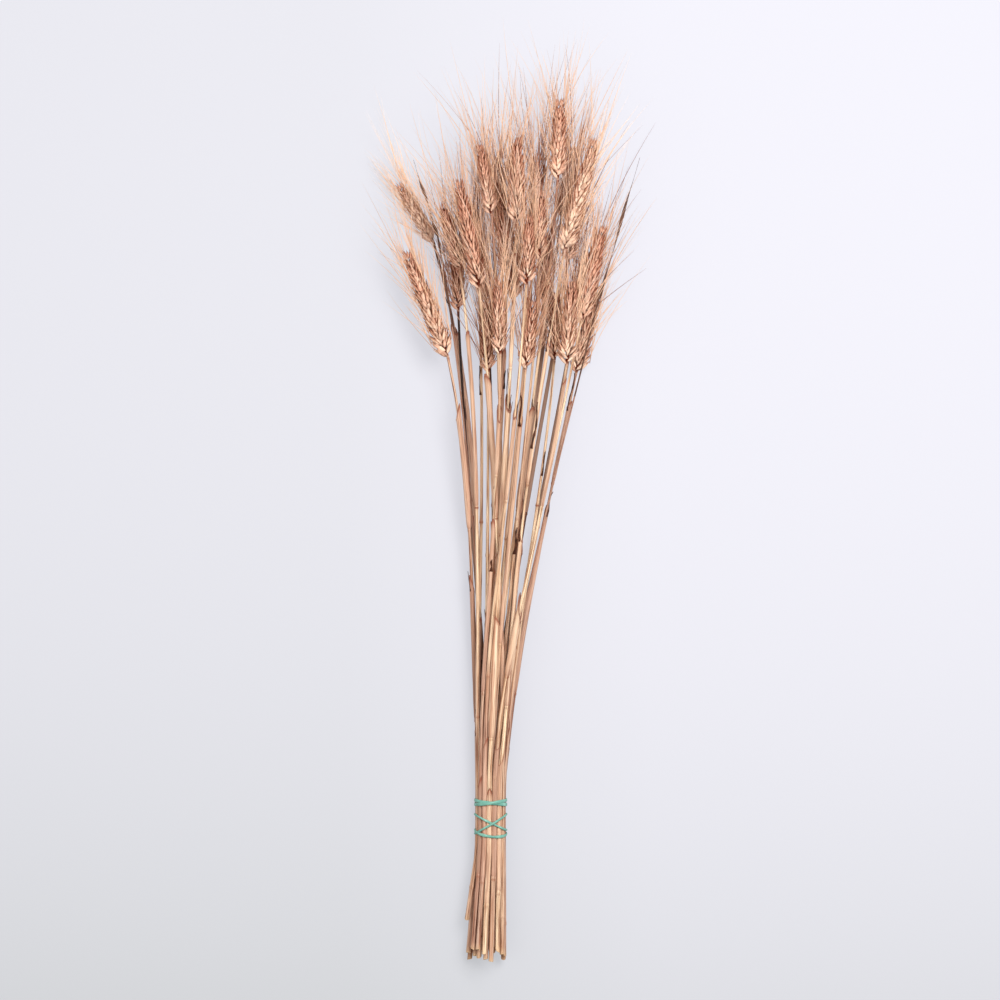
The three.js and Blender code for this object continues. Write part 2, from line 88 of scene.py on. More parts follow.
# The tie: where the straws run side by side, and how they are packed there.
TIE_ALONG = 118.0
TIE_HELD = (96.0, 142.0)
TIE_LOOSEN = 45.0
TIE_RINGS = ((16, 10.6, 0.1), (10, 6.75, 0.35), (4, 2.9, 0.2))
TIE_UP = 14.4

# Radii of a straw at the tie and at its ear, and of a headless stalk at its leaf.
STRAW_FOOT = 1.75
STRAW_NECK = 1.15
DRY_NECK = 0.8

# How far the stalks spread and shift below the tie, where they are cut, and the one cut short.
BUTT_SPREAD = 1.4
BUTT_SHIFT = -4.0
CUTS = (0.0, 12.0)
SHORT_CUT = 34.0
SHORT_SPLAY = -6.3

# The joints of a straw and the leaf sheaths that start at them.
NECK_GAP = 0.3
JOINT_SWELL = 0.4
JOINT_FIRST = (14.0, 80.0)
JOINT_STEP = (130.0, 185.0)
JOINT_FREE = 90.0

# Room for an ear, how far its husks may press down on the surface, how far it turns about its
# run and how far to the side its stalk may come from.
EAR_REACH = 7.4
EAR_SINK = 1.8
EAR_TURN = 0.55
STRAY = 36.0

# The slices in which the stalks settle, and how they push one another apart.
SLICE = 10
SETTLE_ROUNDS = 220
CLEARING_ROUNDS = 12
CLEARANCE = 0.6

# How far apart the knots of a stalk's smooth line lie, and how far to both sides each looks.
KNOT_STEP = 30
KNOT_SIGHT = 8

# Foot and tip of each ear as (across, along, up), how far its lowest spikelets flare, and from
# how far to the side a stalk that crosses over the others comes.
EARS = (
    ((-34, 495, 31), (-70, 585, 35), 1),
    ((-47, 590, 11), (-77, 641, 3.2), 1),
    ((-25, 567, 48), (-41, 623, 54), 1.3),
    ((-9, 550, 62), (-27, 642, 70), 1, 120),
    ((3, 610, 56), (-7, 670, 60), 1),
    ((21, 602, 70), (21, 676, 78), 1),
    ((54, 639, 58), (56, 707, 62), 1),
    ((60, 580, 62), (86, 674, 70), 1),
    ((74, 525, 42), (92, 605, 46), 1),
    ((29, 552, 76), (32, 611, 84), 1.35),
    ((8, 496, 70), (6, 560, 78), 1, -70),
    ((40, 573, 54), (41, 633, 58), 1),
    ((62, 488, 62), (67, 560, 70), 1.3),
    ((70, 482, 12), (89, 558, 3.6), 1),
    ((30, 484, 50), (37, 544, 56), 1),
    ((-27, 533, 24), (-29, 594, 25), 1),
    ((-2, 482, 42), (-3, 543, 45), 1),
    ((11, 565, 48), (5, 631, 52), 1),
    ((52, 492, 38), (53, 552, 40), 1),
    ((42, 541, 32), (44, 600, 34), 1),
    ((-10, 561, 33), (-17, 624, 36), 1),
    ((17, 541, 28), (17, 603, 29), 1),
    ((38, 602, 37), (40, 664, 40), 1),
    ((63, 572, 33), (73, 636, 35), 1),
    ((11, 602, 28), (7, 664, 29), 1),
    ((68, 520, 19), (81, 586, 15), 1),
    ((-3, 537, 14), (-11, 597, 11), 1),
    ((58, 610, 22), (69, 672, 20), 1),
)

# Headless dry stalks: foot and tip of the blade, how far inwards the stalk comes from, and how
# high up it is cut.
DRY_BLADES = (
    ("dry_blade_left", (-43, 594, 32), (-63, 656, 36), 24, 6.0),
    ("dry_blade_right", (88, 541, 28), (122, 658, 34), -40, 15.0),
)

# Levels of each band's windings along the bunch, how far out the bands lie, and how far a middle
# winding sags.
BANDS = (("band_upper", (131.5, 128.0)), ("band_lower", (120.0, 107.0, 104.0)))
BAND_RADIUS = 13.1
BAND_SAG = -3.2

# How ripe each ear looks, from pale straw (0) to red brown (1).
EAR_RIPENESS = (
    0.42, 0.0, 0.7, 0.75, 0.55, 0.5, 0.6, 0.12, 0.75, 0.7, 0.5, 0.6, 0.35, 0.55,
    0.6, 0.85, 0.7, 0.6, 0.75, 0.7, 0.8, 0.7, 0.5, 0.6, 0.5, 0.7, 0.8, 0.5,
)

# The husks of a spikelet: how far up, out and to the side each roots, how much it tilts and fans
# out, its length and width as shares of the largest, and whether it bears an awn. Those to the
# side come in pairs.
HUSKS = (
    (0.0, 0.2, 2.1, 0.6, 0.06, 0.88, 1.05, False),
    (0.9, 1.8, 1.5, 1.0, 0.14, 1.0, 0.95, True),
    (2.8, 2.2, 1.0, 0.9, 0.08, 0.86, 0.85, True),
    (2.0, 2.4, 0.0, 1.25, 0.0, 0.92, 0.85, True),
)

# Shreds of dead leaf that stand out: straw, where on it they start, their length and their width.
SHREDS = (
    (21, 464, 24, 1.3),
    (16, 444, 17, 1.2),
    (6, 428, 36, 1.0),
    (15, 438, 26, 1.9),
    (8, 420, 38, 1.4),
    (12, 334, 22, 1.5),
    (18, 469, 15, 1.3),
    (11, 320, 10, 1.6),
    (4, 376, 14, 1.1),
    (19, 398, 20, 1.0),
)

# Length of a middling ear.
USUAL_EAR = 66

# How plump the husks are, and the ears with plumper ones.
USUAL_PLUMP = 0.9
PLUMP = {1: 1.2, 2: 1.35, 5: 1.1, 7: 1.3, 8: 1.35, 9: 1.15, 26: 1.1}

# How pale the husks at an ear's foot are, the ears painted pale all over as painted light against
# the shadow that falls on them, and how much the pale keel colour then spreads over a husk in place
# of the painted shade on its flanks.
FOOT_PALE = 0.28
PAINTED_LIGHT_EARS = {2: 0.2}
PALE_KEEL = 3.2

# Husks and awns lower than the first height are pressed flat, and none comes below the second.
PRESS = (1.0, 0.1)

# Ears at the outside of the bunch with more awns than the other outer ones.
BUSHY = (1, 2, 7)

# Ears after this one are the inner ones, whose many awns fill the gaps between the ears.
INNER_FROM = 14

# How often an awn is drawn anew where it would leave the bunch's reach, and how low it may hang.
AWN_TRIES = 12
AWN_FLOOR = 0.6

# From an ear's foot to its tip: how far its spikelets lean out, how much riper than the ear they
# are, and how far their awns spread. How far each spikelet may be turned.
LEAN = (0.36, 0.22)
RIPENING = (-0.2, 0.5)
AWN_SPREAD = (0.6, 0.26)
SPIKELET_TURN = 0.38

# Odds of a longer awn and of one that stands out more, and how much more. Odds of a dark awn on
# an inner ear, darker as painted shade deep among the ears.
LONG_AWN = (0.1, 1.22)
WIDE_AWN = (0.08, 1.7)
SHADED_DARK_AWN = 0.45

# How pale the straws are from the back of the bunch, darker there as painted shade, to its front,
# and how far each strays from that.
STRAW_TONES_SHADED_BELOW = (0.14, 0.82)
TONE_STRAY = (-0.2, 0.26)

# Stalks of dead brown straw that show between the pale ones, and how pale those are.
BROWN_STRAWS = (16, 24, 26, 27, 28)
BROWN_TONES = (0.1, 0.26)

# How much a straw's cut end and a torn leaf sheath slant.
CUT_SLANT = (0.1, 0.75)
TORN_SLANT = (1.6, 4.6)

# Where something starts along the bunch and how far it takes: a straw gets slimmer, it gets its
# own girth, it gets paler above the tie and darker among the ears as painted shade from the heads,
# and a headless stalk withers.
SLIMMING = (220, 200)
OWN_GIRTH = (150, 120)
PALER = (170, 140)
PAINTED_EAR_SHADE = (545, 60)
WITHERING = (170, 90)

# How thick a withered stalk still is, how far down from its top a dead leaf wraps it, and how
# many rings the rolled leaf beyond has.
WITHERED = 0.66
LEAF_ROUND = 70
LEAF_STEPS = 22

# Odds that a leaf sheath is left above a joint, that a shred hangs from it, and that it is a
# looser one, with how much looser.
SHEATH_ODDS = 0.72
SHRED_ODDS = 0.4
LOOSE_SHEATH = (0.2, 2.2)

# Steps between a straw's plain rings, how far those stay off its joints, and the swelling for
# which the rings round a joint are drawn.
RING_STEP = (9, 13)
RINGS_OFF = 9
DRAWN_SWELL = 0.42

# Rings round a joint: how far above it, how swollen and how brown.
JOINT_RINGS = (
    (-5.0, 0.0, 0.0),
    (-1.9, 0.04, 0.1),
    (-1.1, 0.2, 0.45),
    (-0.6, 0.4, 0.95),
    (0.0, 0.3, 1.0),
    (0.6, 0.36, 0.5),
    (1.5, 0.14, 0.2),
    (3.0, 0.04, 0.05),
    (6.0, 0.0, 0.0),
)

# A straw's girth on its flat skin, how far on the next straw's skin lies in metres, the hollow as
# a share of the straw's radius, and the look of a dead leaf.
STRAW_GIRTH = math.tau * 1.6
SKIN_SHIFT = 0.037
BORE = 0.62
LEAF_LOOK = (0.0, 0.0, 0.2, 0.0)


class Dice:
    """Dice of whole numbers that give the same draws everywhere."""

    prime = 2147483647
    stride = 16807

    def __init__(self, seed):
        self.state = (seed * 7919 + 17) % self.prime

    def __call__(self, low=0.0, high=1.0):
        self.state = self.state * self.stride % self.prime
        return low + (high - low) * self.state / self.prime

    def seldom(self, odds, factor):
        """A factor that comes up at the given odds, and 1 at all other times."""
        return factor if self() < odds else 1.0


def blend(start, end, share):
    return start + (end - start) * share


def clamp(value, low, high):
    return min(high, max(low, value))


def rise(value, start, span):
    """A share that goes from 0 to 1 while a value goes from its start over a span."""
    return clamp((value - start) / span, 0, 1)


def ease(share):
    """Share from 0 to 1 with a soft start and end."""
    share = clamp(share, 0.0, 1.0)
    return share * share * (3 - 2 * share)


# ---- Where each stalk runs ----


class Stalk:
    """One stalk, from its cut end to its ear or blade."""

    turn = stray = splay = cut = 0.0

    def __init__(self, number, foot, tip, flare=1.0, name=None):
        self.number = number
        self.name = name
        self.foot = foot
        self.tip = tip
        self.flare = flare
        self.ear = name is None
        self.stout = Dice(number + STOUT_SEED)(0.88, 1.05)
        self.last = math.ceil(tip[1] / SLICE)

    def radius(self, along):
        neck = STRAW_NECK if self.ear else DRY_NECK
        share = rise(along, TIE_ALONG, self.foot[1] - TIE_ALONG)
        return blend(STRAW_FOOT, neck, share)

    def room(self, along):
        """Half the room that the stalk takes up at a height."""
        share = (along - self.foot[1]) / (self.tip[1] - self.foot[1])
        if not self.ear or share < -0.12:
            from_tie = max(TIE_HELD[0] - along, along - TIE_HELD[1])
            return self.radius(along) + JOINT_SWELL * rise(from_tie, 0, TIE_LOOSEN)
        body = blend(1, 0.7, rise(share, 0.7, 0.3))
        foot = blend(0.62, 1, rise(share, -0.12, 0.2))
        flare = blend(self.flare, 1, rise(share, 0.45, 0.2))
        return EAR_REACH * body * foot * flare

    def free_run(self, along):
        """Where the stalk would run if nothing pushed it."""
        foot, tip, place = self.foot, self.tip, self.place
        if along <= TIE_HELD[1]:
            below = clamp(1 - along / TIE_HELD[0], 0, 1)
            spread = blend(1, BUTT_SPREAD, below)
            shift = BUTT_SHIFT + self.splay
            return place[0] * spread + shift * below, TIE_UP + place[1] * spread
        ear_span = tip[1] - foot[1]
        if along >= foot[1]:
            share = (along - foot[1]) / ear_span
            return blend(foot[0], tip[0], share), blend(foot[2], tip[2], share)
        span = foot[1] - TIE_HELD[1]
        share = (along - TIE_HELD[1]) / span
        s2, s3 = share**2, share**3
        run = []
        ends = ((place[0], foot[0], tip[0]), (TIE_UP + place[1], foot[2], tip[2]))
        for start, end, beyond in ends:
            mean = (end - start) / span
            lean = (beyond - end) / ear_span
            first, final = 0.4 * mean, 0.6 * mean + 0.4 * lean
            run.append(
                start * (2 * s3 - 3 * s2 + 1)
                + first * span * (s3 - 2 * s2 + share)
                + end * (3 * s2 - 2 * s3)
                + final * span * (s3 - s2)
            )
        return run[0], run[1]

    def settled(self, along):
        """The stalk's centre at a height, straight between slices, as (x, y, z) in millimetres."""
        k = int(clamp(math.floor(along / SLICE), 0, self.last - 1))
        share = along / SLICE - k
        low, high = self.slices[k], self.slices[k + 1]
        across = blend(low[0], high[0], share)
        up = blend(low[1], high[1], share)
        return Vector((across - ORIGIN_ACROSS, along - LENGTH / 2, up))

    def smooth_knots(self):
        """Knots of a gently bent line through the slices, ending exactly at the stalk's top."""
        top = self.foot[1]
        spans = max(2, round((top - self.cut) / KNOT_STEP))
        heights = [blend(self.cut, top, k / spans) for k in range(spans + 1)]
        self.knots = []
        for k, along in enumerate(heights):
            centre = self.settled(along)
            if 0 < k < spans:
                sides = self.settled(along - KNOT_SIGHT) + self.settled(along + KNOT_SIGHT)
                centre = (centre * 2 + sides) / 4
            self.knots.append(centre)

    def centre(self, along):
        """The stalk's centre at a height on its smooth line, in millimetres."""
        spans = len(self.knots) - 1
        place = rise(along, self.cut, self.foot[1] - self.cut) * spans
        k = int(min(place, spans - 1))
        share = place - k
        p1, p2 = self.knots[k], self.knots[k + 1]
        p0 = self.knots[k - 1] if k > 0 else p1 * 2 - p2
        p3 = self.knots[k + 2] if k + 2 <= spans else p2 * 2 - p1
        s2, s3 = share * share, share * share * share
        bend = p0 * 2 - p1 * 5 + p2 * 4 - p3
        twist = p1 * 3 - p0 - p2 * 3 + p3
        return 0.5 * (p1 * 2 + (p2 - p0) * share + bend * s2 + twist * s3)

    def heading(self, along):
        """The way the stalk runs at a height."""
        return self.centre(min(along + 3, self.foot[1])) - self.centre(along - 3)


def tie_places():
    """Places round the tie's centre, ring by ring."""
    return [
        (radius * math.cos(angle), radius * math.sin(angle))
        for count, radius, turn in TIE_RINGS
        for angle in (turn + math.tau * k / count for k in range(count))
    ]


def uncross(stalks, places):
    """Two stalks swap places at the tie wherever that uncrosses them."""
    slopes = [
        (
            (stalk.foot[0] + stalk.stray) / (stalk.foot[1] - TIE_ALONG),
            (stalk.foot[2] - TIE_UP) / (stalk.foot[1] - TIE_ALONG),
        )
        for stalk in stalks
    ]
    swapped = True
    while swapped:
        swapped = False
        for a in range(len(stalks)):
            for b in range(a + 1, len(stalks)):
                gain = sum(
                    (places[a][n] - places[b][n]) * (slopes[a][n] - slopes[b][n]) for n in (0, 1)
                )
                if gain < -1e-9:
                    places[a], places[b] = places[b], places[a]
                    swapped = True


def push_apart(xs, ups, rooms, floors):
    """The stalks of one slice push one another apart and stay above the surface."""
    count = len(xs)
    for a in range(count):
        xa, ua, reach = xs[a], ups[a], rooms[a] + CLEARANCE
        for b in range(a + 1, count):
            need = reach + rooms[b]
            dx = xa - xs[b]
            if dx >= need or dx <= -need:
                continue
            du = ua - ups[b]
            if du >= need or du <= -need:
                continue
            apart = math.hypot(dx, du) or 1e-6
            lack = need - apart
            if lack > 0:
                share = 0.5 * lack / apart
                xa += dx * share
                ua += du * share
                xs[b] -= dx * share
                ups[b] -= du * share
        xs[a], ups[a] = xa, ua
    for a in range(count):
        ups[a] = max(ups[a], floors[a])


def settle(stalks):
    """The stalks settle, slice by slice, until stems and ears lie clear of one another."""
    most = max(stalk.last for stalk in stalks)
    levels = []
    for k in range(most + 1):
        here = [n for n, stalk in enumerate(stalks) if stalk.last >= k]
        runs = [stalks[n].free_run(k * SLICE) for n in here]
        rooms = [stalks[n].room(k * SLICE) for n in here]
        levels.append(
            {
                "here": here,
                "free": [[run[axis] for run in runs] for axis in (0, 1)],
                "now": [[run[axis] for run in runs] for axis in (0, 1)],
                "rooms": rooms,
                "floors": [half - EAR_SINK if half > EAR_REACH / 2 else half for half in rooms],
                "held": TIE_HELD[0] - SLICE < k * SLICE < TIE_HELD[1] + SLICE,
            }
        )
    seat = [{n: place for place, n in enumerate(level["here"])} for level in levels]
    for turn in range(SETTLE_ROUNDS):
        for level in levels:
            if not level["held"]:
                push_apart(*level["now"], level["rooms"], level["floors"])
        if turn >= SETTLE_ROUNDS - CLEARING_ROUNDS:
            continue
        for n, stalk in enumerate(stalks):
            for axis in (0, 1):
                now = [level["now"][axis] for level in levels]
                free = [level["free"][axis] for level in levels]
                heights = range(stalk.last + 1)
                was = [now[k][seat[k][n]] - free[k][seat[k][n]] for k in heights]
                for k in heights:
                    mean = (was[max(0, k - 1)] + was[min(stalk.last, k + 1)]) / 2
                    moved = 0.0 if levels[k]["held"] else blend(was[k], mean, 0.5)
                    now[k][seat[k][n]] = free[k][seat[k][n]] + moved
    for n, stalk in enumerate(stalks):
        stalk.slices = [
            tuple(levels[k]["now"][axis][seat[k][n]] for axis in (0, 1))
            for k in range(stalk.last + 1)
        ]


def lay_out():
    """All stalks of the bunch, with their lines, in the order of their numbers."""
    stalks = []
    for k, (foot, tip, flare, *crosses) in enumerate(EARS):
        stalk = Stalk(k + 1, foot, tip, flare)
        dice = Dice(stalk.number + LAYOUT_SEED)
        stalk.cut = dice(*CUTS) if k > 0 else 0.0
        stalk.turn = dice(-EAR_TURN, EAR_TURN)
        stalk.stray = sum(crosses) + dice(-STRAY, STRAY)
        stalks.append(stalk)
    for k, (name, foot, tip, stray, cut) in enumerate(DRY_BLADES):
        stalk = Stalk(len(EARS) + 1 + k, foot, tip, 1.0, name)
        stalk.cut = cut
        stalk.stray = stray
        stalks.append(stalk)
    places = tie_places()
    uncross(stalks, places)
    for stalk, place in zip(stalks, places):
        stalk.place = place
    upper = (stalk for stalk in stalks if stalk.ear and stalk.cut > 0 and stalk.place[1] > 0)
    short = min(upper, key=lambda one: one.place[0])
    short.cut = SHORT_CUT
    short.splay = SHORT_SPLAY
    settle(stalks)
    for stalk in stalks:
        stalk.smooth_knots()
        node = f"stem_{stalk.number:02d}" if stalk.ear else stalk.name
        low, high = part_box(node)
        foot = stalk.settled(stalk.foot[1]) * MM
        meets = abs(foot.y - high.y) < 0.0015 and low.x - 0.002 < foot.x < high.x + 0.002
        if stalk.ear and not meets:
            raise RuntimeError(f"{node} doesn't end where its ear starts")
    return stalks


STALKS = lay_out()


# ---- Colours and materials ----


def linear(code):
    """An sRGB hex colour as the linear red, green and blue that Blender keeps."""
    values = [int(code[n : n + 2], 16) / 255 for n in (0, 2, 4)]
    return tuple(v / 12.92 if v <= 0.04045 else ((v + 0.055) / 1.055) ** 2.4 for v in values)


def opaque(colour):
    """A linear colour or an sRGB hex code as a linear colour with full cover."""
    return (*(linear(colour) if isinstance(colour, str) else colour), 1.0)


def add_node(tree, kind, inputs=None, **settings):
    """Adds a node with its own settings. An input gets a link from a socket, or else a constant."""
    node = tree.nodes.new(kind)
    for name, value in settings.items():
        setattr(node, name, value)
    for key, value in (inputs or {}).items():
        if isinstance(value, bpy.types.NodeSocket):
            tree.links.new(value, node.inputs[key])
        else:
            node.inputs[key].default_value = value
    return node


def colour_steps(tree, factor, *steps):
    """A colour ramp with the given (place, colour) steps."""
    node = add_node(tree, "ShaderNodeValToRGB", {"Fac": factor})
    ramp = node.color_ramp
    while len(ramp.elements) < len(steps):
        ramp.elements.new(0.5)
    for element, (place, colour) in zip(ramp.elements, steps):
        element.position = place
        element.color = opaque(colour)
    return node.outputs["Color"]


def mix_colour(tree, factor, first, second, kind="MIX"):
    """Two colours, each a socket or a colour, mixed by a socket."""
    first, second = (
        side if isinstance(side, bpy.types.NodeSocket) else opaque(side) for side in (first, second)
    )
    inputs = {0: factor, 6: first, 7: second}
    return add_node(tree, "ShaderNodeMix", inputs, data_type="RGBA", blend_type=kind).outputs[2]


def layer(tree, colour, *layers):
    """A colour with others laid over it, each given as how much of it shows, and the colour."""
    for share, over, *kind in layers:
        colour = mix_colour(tree, share, colour, over, *kind)
    return colour


def stretch(tree, value, low, high, start=0.0, end=1.0):
    """A value that runs from start to end while another runs from low to high."""
    inputs = {"Value": value, "From Min": low, "From Max": high, "To Min": start, "To Max": end}
    return add_node(tree, "ShaderNodeMapRange", inputs).outputs["Result"]


def calculate(tree, operation, *values, **settings):
    """What a Math node makes of sockets and numbers."""
    node = add_node(
        tree, "ShaderNodeMath", dict(enumerate(values)), operation=operation, **settings
    )
    return node.outputs["Value"]


def grain(tree, place, detail, roughness=0.5, scale=1.0):
    """Noise at a place."""
    inputs = {"Vector": place, "Scale": scale, "Detail": detail, "Roughness": roughness}
    return add_node(tree, "ShaderNodeTexNoise", inputs).outputs["Fac"]


def skin_grain(tree, wide, long, detail, roughness=0.5):
    """Noise on the piece's own skin, whose specks are so many metres wide and long."""
    surface = add_node(tree, "ShaderNodeTexCoord").outputs["UV"]
    inputs = {"Vector": surface, "Scale": (1 / wide, 1 / long, 1.0)}
    placed = add_node(tree, "ShaderNodeMapping", inputs).outputs["Vector"]
    return grain(tree, placed, detail, roughness)


def new_material(name, constants):
    """A material with one Principled shader, whose constant values sit on its own sockets."""
    material = bpy.data.materials.new(name)
    material.use_nodes = True
    tree = material.node_tree
    tree.nodes.clear()
    shader = add_node(tree, "ShaderNodeBsdfPrincipled", {"IOR": 1.5, **constants})
    add_node(tree, "ShaderNodeOutputMaterial", {"Surface": shader.outputs["BSDF"]})
    return material, tree, shader


def cover(tree, shader, colour, height=None, strength=1.0, depth=0.0):
    """Gives a shader its colour and, where there is a height, a relief so many metres deep."""
    tree.links.new(colour, shader.inputs["Base Color"])
    if height is not None:
        inputs = {"Height": height, "Strength": strength, "Distance": depth}
        relief = add_node(tree, "ShaderNodeBump", inputs).outputs["Normal"]
        tree.links.new(relief, shader.inputs["Normal"])


def look_of(tree):
    """The piece's own look attribute, split in its parts."""
    look = add_node(tree, "ShaderNodeAttribute", attribute_name="look").outputs
    parts = add_node(tree, "ShaderNodeSeparateColor", {"Color": look["Color"]}).outputs
    return parts["Red"], parts["Green"], parts["Blue"], look["Alpha"]


def straw_material(look):
    """Dry cereal straw: a hard waxy skin over long fibres. The eye sees lengthwise lines and
    soft gloss, golden, pinkish and brown stalks, red brown joints and duller sheaths."""
    material, tree, shader = new_material("dry_straw", {"Specular IOR Level": 0.25})
    joint, sheath, tone, cut = look_of(tree)
    # Fibres 0.9 mm apart and 50 mm long, and bleached or browned streaks 1.1 mm by 60 mm.
    fibres = skin_grain(tree, 0.0009, 0.05, 2.0, 0.6)
    streaks = skin_grain(tree, 0.0011, 0.06, 3.0, 0.65)
    colour = colour_steps(
        tree,
        tone,
        (0.0, "2E1B14"),
        (0.14, "633E2D"),
        (0.36, "A67C67"),
        (0.58, look.straw_pink),
        (0.8, look.straw_gold),
        (1.0, "FBE6C6"),
    )
    colour = layer(
        tree,
        colour,
        (stretch(tree, streaks, 0.44, 0.6, 0.0, 0.9), "D3B09C", "MULTIPLY"),
        (stretch(tree, fibres, 0.52, 0.6, 0.0, 0.9), "8E6250", "MULTIPLY"),
        (calculate(tree, "MULTIPLY", sheath, 0.4), "D6B09A"),
        (joint, look.joint),
        (cut, "EBCB9E"),
    )
    cover(tree, shader, colour, fibres, 0.5, 0.00008)
    tree.links.new(stretch(tree, sheath, 0.0, 1.0, 0.4, 0.65), shader.inputs["Roughness"])
    return material


def chaff_material(look):
    """Dry wheat chaff: papery husks with fine lengthwise veins. The eye sees pale keels with a
    painted highlight, red brown tips, red brown roots and flanks darkened as painted shade between
    the husks, and a skin with a faint waxy gloss."""
    material, tree, shader = new_material(
        "dry_chaff", {"Roughness": 0.5, "Specular IOR Level": 0.12}
    )
    up, tone, keel, ripe = look_of(tree)
    # Veins: several across each husk, which run most of its length.
    vein_place = {
        axis: calculate(tree, "MULTIPLY", socket, scale)
        for axis, (socket, scale) in enumerate(((up, 2.5), (keel, 9.0), (tone, 60.0)))
    }
    vein_place = add_node(tree, "ShaderNodeCombineXYZ", vein_place).outputs["Vector"]
    veins = grain(tree, vein_place, 2.0, 0.55)
    # Each ramp's root colour is darkest: painted shade where the husks of a spikelet crowd
    # together.
    pale, red = (
        colour_steps(tree, up, (0.0, root), (0.28, body), (0.7, shoulder), (1.0, beak))
        for root, body, shoulder, beak in (
            ("5E321E", look.chaff_pale, "EDB791", "A95F42"),
            ("4C2416", look.chaff_ripe, "B26F54", "6E3626"),
        )
    )
    # Each husk is a little riper or paler than its ear.
    own = stretch(tree, tone, 0.0, 1.0, -0.42, 0.42)
    ripeness = calculate(tree, "ADD", ripe, own, use_clamp=True)
    keel_pale_and_highlight = mix_colour(tree, ripeness, look.keel, "EDBBA2")
    colour = layer(
        tree,
        pale,
        (ripeness, red),
        # Inner flanks darken towards near black as painted shade between the husks; the keel's pale
        # colour is partly the husk's own and partly a painted highlight.
        (stretch(tree, keel, 0.45, 0.97, 0.97, 0.0), "5C200E"),
        (stretch(tree, keel, 0.76, 1.0, 0.0, 0.7), keel_pale_and_highlight),
        (stretch(tree, veins, 0.46, 0.66, 0.0, 0.6), "8A4B33"),
    )
    cover(tree, shader, colour, veins, 0.5, 0.00015)
    return material


def awn_material(look):
    """Dry wheat awns: stiff fine bristles. The eye sees peach hairs that grow paler towards
    their tips and redder on ripe ears, and some red brown ones among them, the darkest of them
    painted shade deep among the ears."""
    material, tree, shader = new_material("dry_awn", {"Roughness": 0.5})
    up, tone, _, ripe = look_of(tree)
    colour = colour_steps(
        tree, up, (0.0, "E0A880"), (0.12, look.awn), (0.45, look.awn), (1.0, "F2E6E0")
    )
    riper = (calculate(tree, "MULTIPLY", ripe, 0.4), "CE8F6C")
    # Awns with a high tone turn dark red brown: a few are real dark awns, and those on inner ears
    # are painted shade deep in the bunch.
    dark = (stretch(tree, tone, 0.68, 0.82, 0.0, 0.9), "8A4425")
    colour = layer(tree, colour, riper, dark)
    cover(tree, shader, colour)
    return material


def dry_leaf_material(look):
    """A dead wheat leaf: thin, brittle and rolled. The eye sees dark brown with paler ribs and
    a few bleached flecks."""
    material, tree, shader = new_material("dead_leaf", {"Roughness": 0.7})
    # Ribs 0.4 mm apart, broken every 15 mm or so.
    ribs = skin_grain(tree, 0.0004, 0.015, 3.0, 0.6)
    colour = colour_steps(
        tree, ribs, (0.3, "3E2A20"), (0.5, look.dead), (0.66, "8C6248"), (0.8, "C39A78")
    )
    cover(tree, shader, colour, ribs, 0.6, 0.00015)
    return material


def rubber_material(look):
    """A coloured natural rubber band, dusty from use. The eye sees a soft satin turquoise with
    a faint cloudy bloom and fine darker stretch lines along it."""
    material, tree, shader = new_material("natural_rubber", {"Roughness": 0.5, "IOR": 1.52})
    # Stretch lines 0.3 mm apart and 12 mm long, and clouds of bloom 6 mm across.
    lines = skin_grain(tree, 0.0003, 0.012, 2.0)
    place = add_node(tree, "ShaderNodeTexCoord").outputs["Object"]
    bloom = grain(tree, place, 3.0, scale=1 / 0.006)
    colour = colour_steps(tree, bloom, (0.3, "5E9A8E"), (0.55, look.rubber), (0.8, "A0D2C5"))
    colour = mix_colour(tree, stretch(tree, lines, 0.5, 0.8, 0.0, 0.4), colour, "4D8379")
    cover(tree, shader, colour, lines, 0.3, 0.00008)
    return material


def floor_material(look):
    """Matt pale floor with a painted glow: an emission that stands in for light, though the floor
    is no lamp, so that shadows on it stay faint. The eye sees an even pale lilac grey with no
    shine, brighter beyond the heads and to the right as painted light falloff."""
    constants = {"Base Color": opaque(look.floor), "Roughness": 0.9, "Specular IOR Level": 0.1}
    material, tree, shader = new_material(
        "floor_with_painted_glow", {**constants, "Emission Strength": 1.0}
    )
    # The painted glow grows fast above the cut ends, then slowly, and a little to the right:
    # painted light falloff.
    place = add_node(tree, "ShaderNodeTexCoord").outputs["Object"]
    parts = add_node(tree, "ShaderNodeSeparateXYZ", {"Vector": place}).outputs
    rightwards = stretch(tree, parts["X"], -0.134, 0.115, 0.72, 1.0)
    downwards = stretch(tree, parts["Y"], -0.47, 0.374, 1.0, 0.0)
    dimming = calculate(tree, "POWER", downwards, 3.0)
    share = calculate(tree, "MULTIPLY_ADD", dimming, -0.72, rightwards)
    glow = colour_steps(tree, share, (0.0, look.painted_glow_low), (1.0, look.painted_glow_high))
    tree.links.new(glow, shader.inputs["Emission Color"])
    return material


# Each material's maker and the group of settings that it reads.
MATERIALS = {
    "dry_straw": (straw_material, "wheat_straw"),
    "dry_chaff": (chaff_material, "wheat_ear"),
    "dry_awn": (awn_material, "wheat_ear"),
    "dead_leaf": (dry_leaf_material, "wheat_blade"),
    "natural_rubber": (rubber_material, "wheat_band"),
    "floor_with_painted_glow": (floor_material, "wheat_stage"),
}


def material_for(name):
    """The shared material of that kind, made when it is first asked for."""
    maker, settings = MATERIALS[name]
    return bpy.data.materials.get(name) or maker(getattr(bpy.context.scene, settings))


# ---- Shaping helpers ----


def add_object(name, data):
    """Puts a mesh, a light or a camera in the scene."""
    added = bpy.data.objects.new(name, data)
    bpy.context.scene.collection.objects.link(added)
    return added


def mesh_of(shape, name):
    """Turns a finished bmesh into a mesh."""
    mesh = bpy.data.meshes.new(name)
    shape.to_mesh(mesh)
    shape.free()
    return mesh


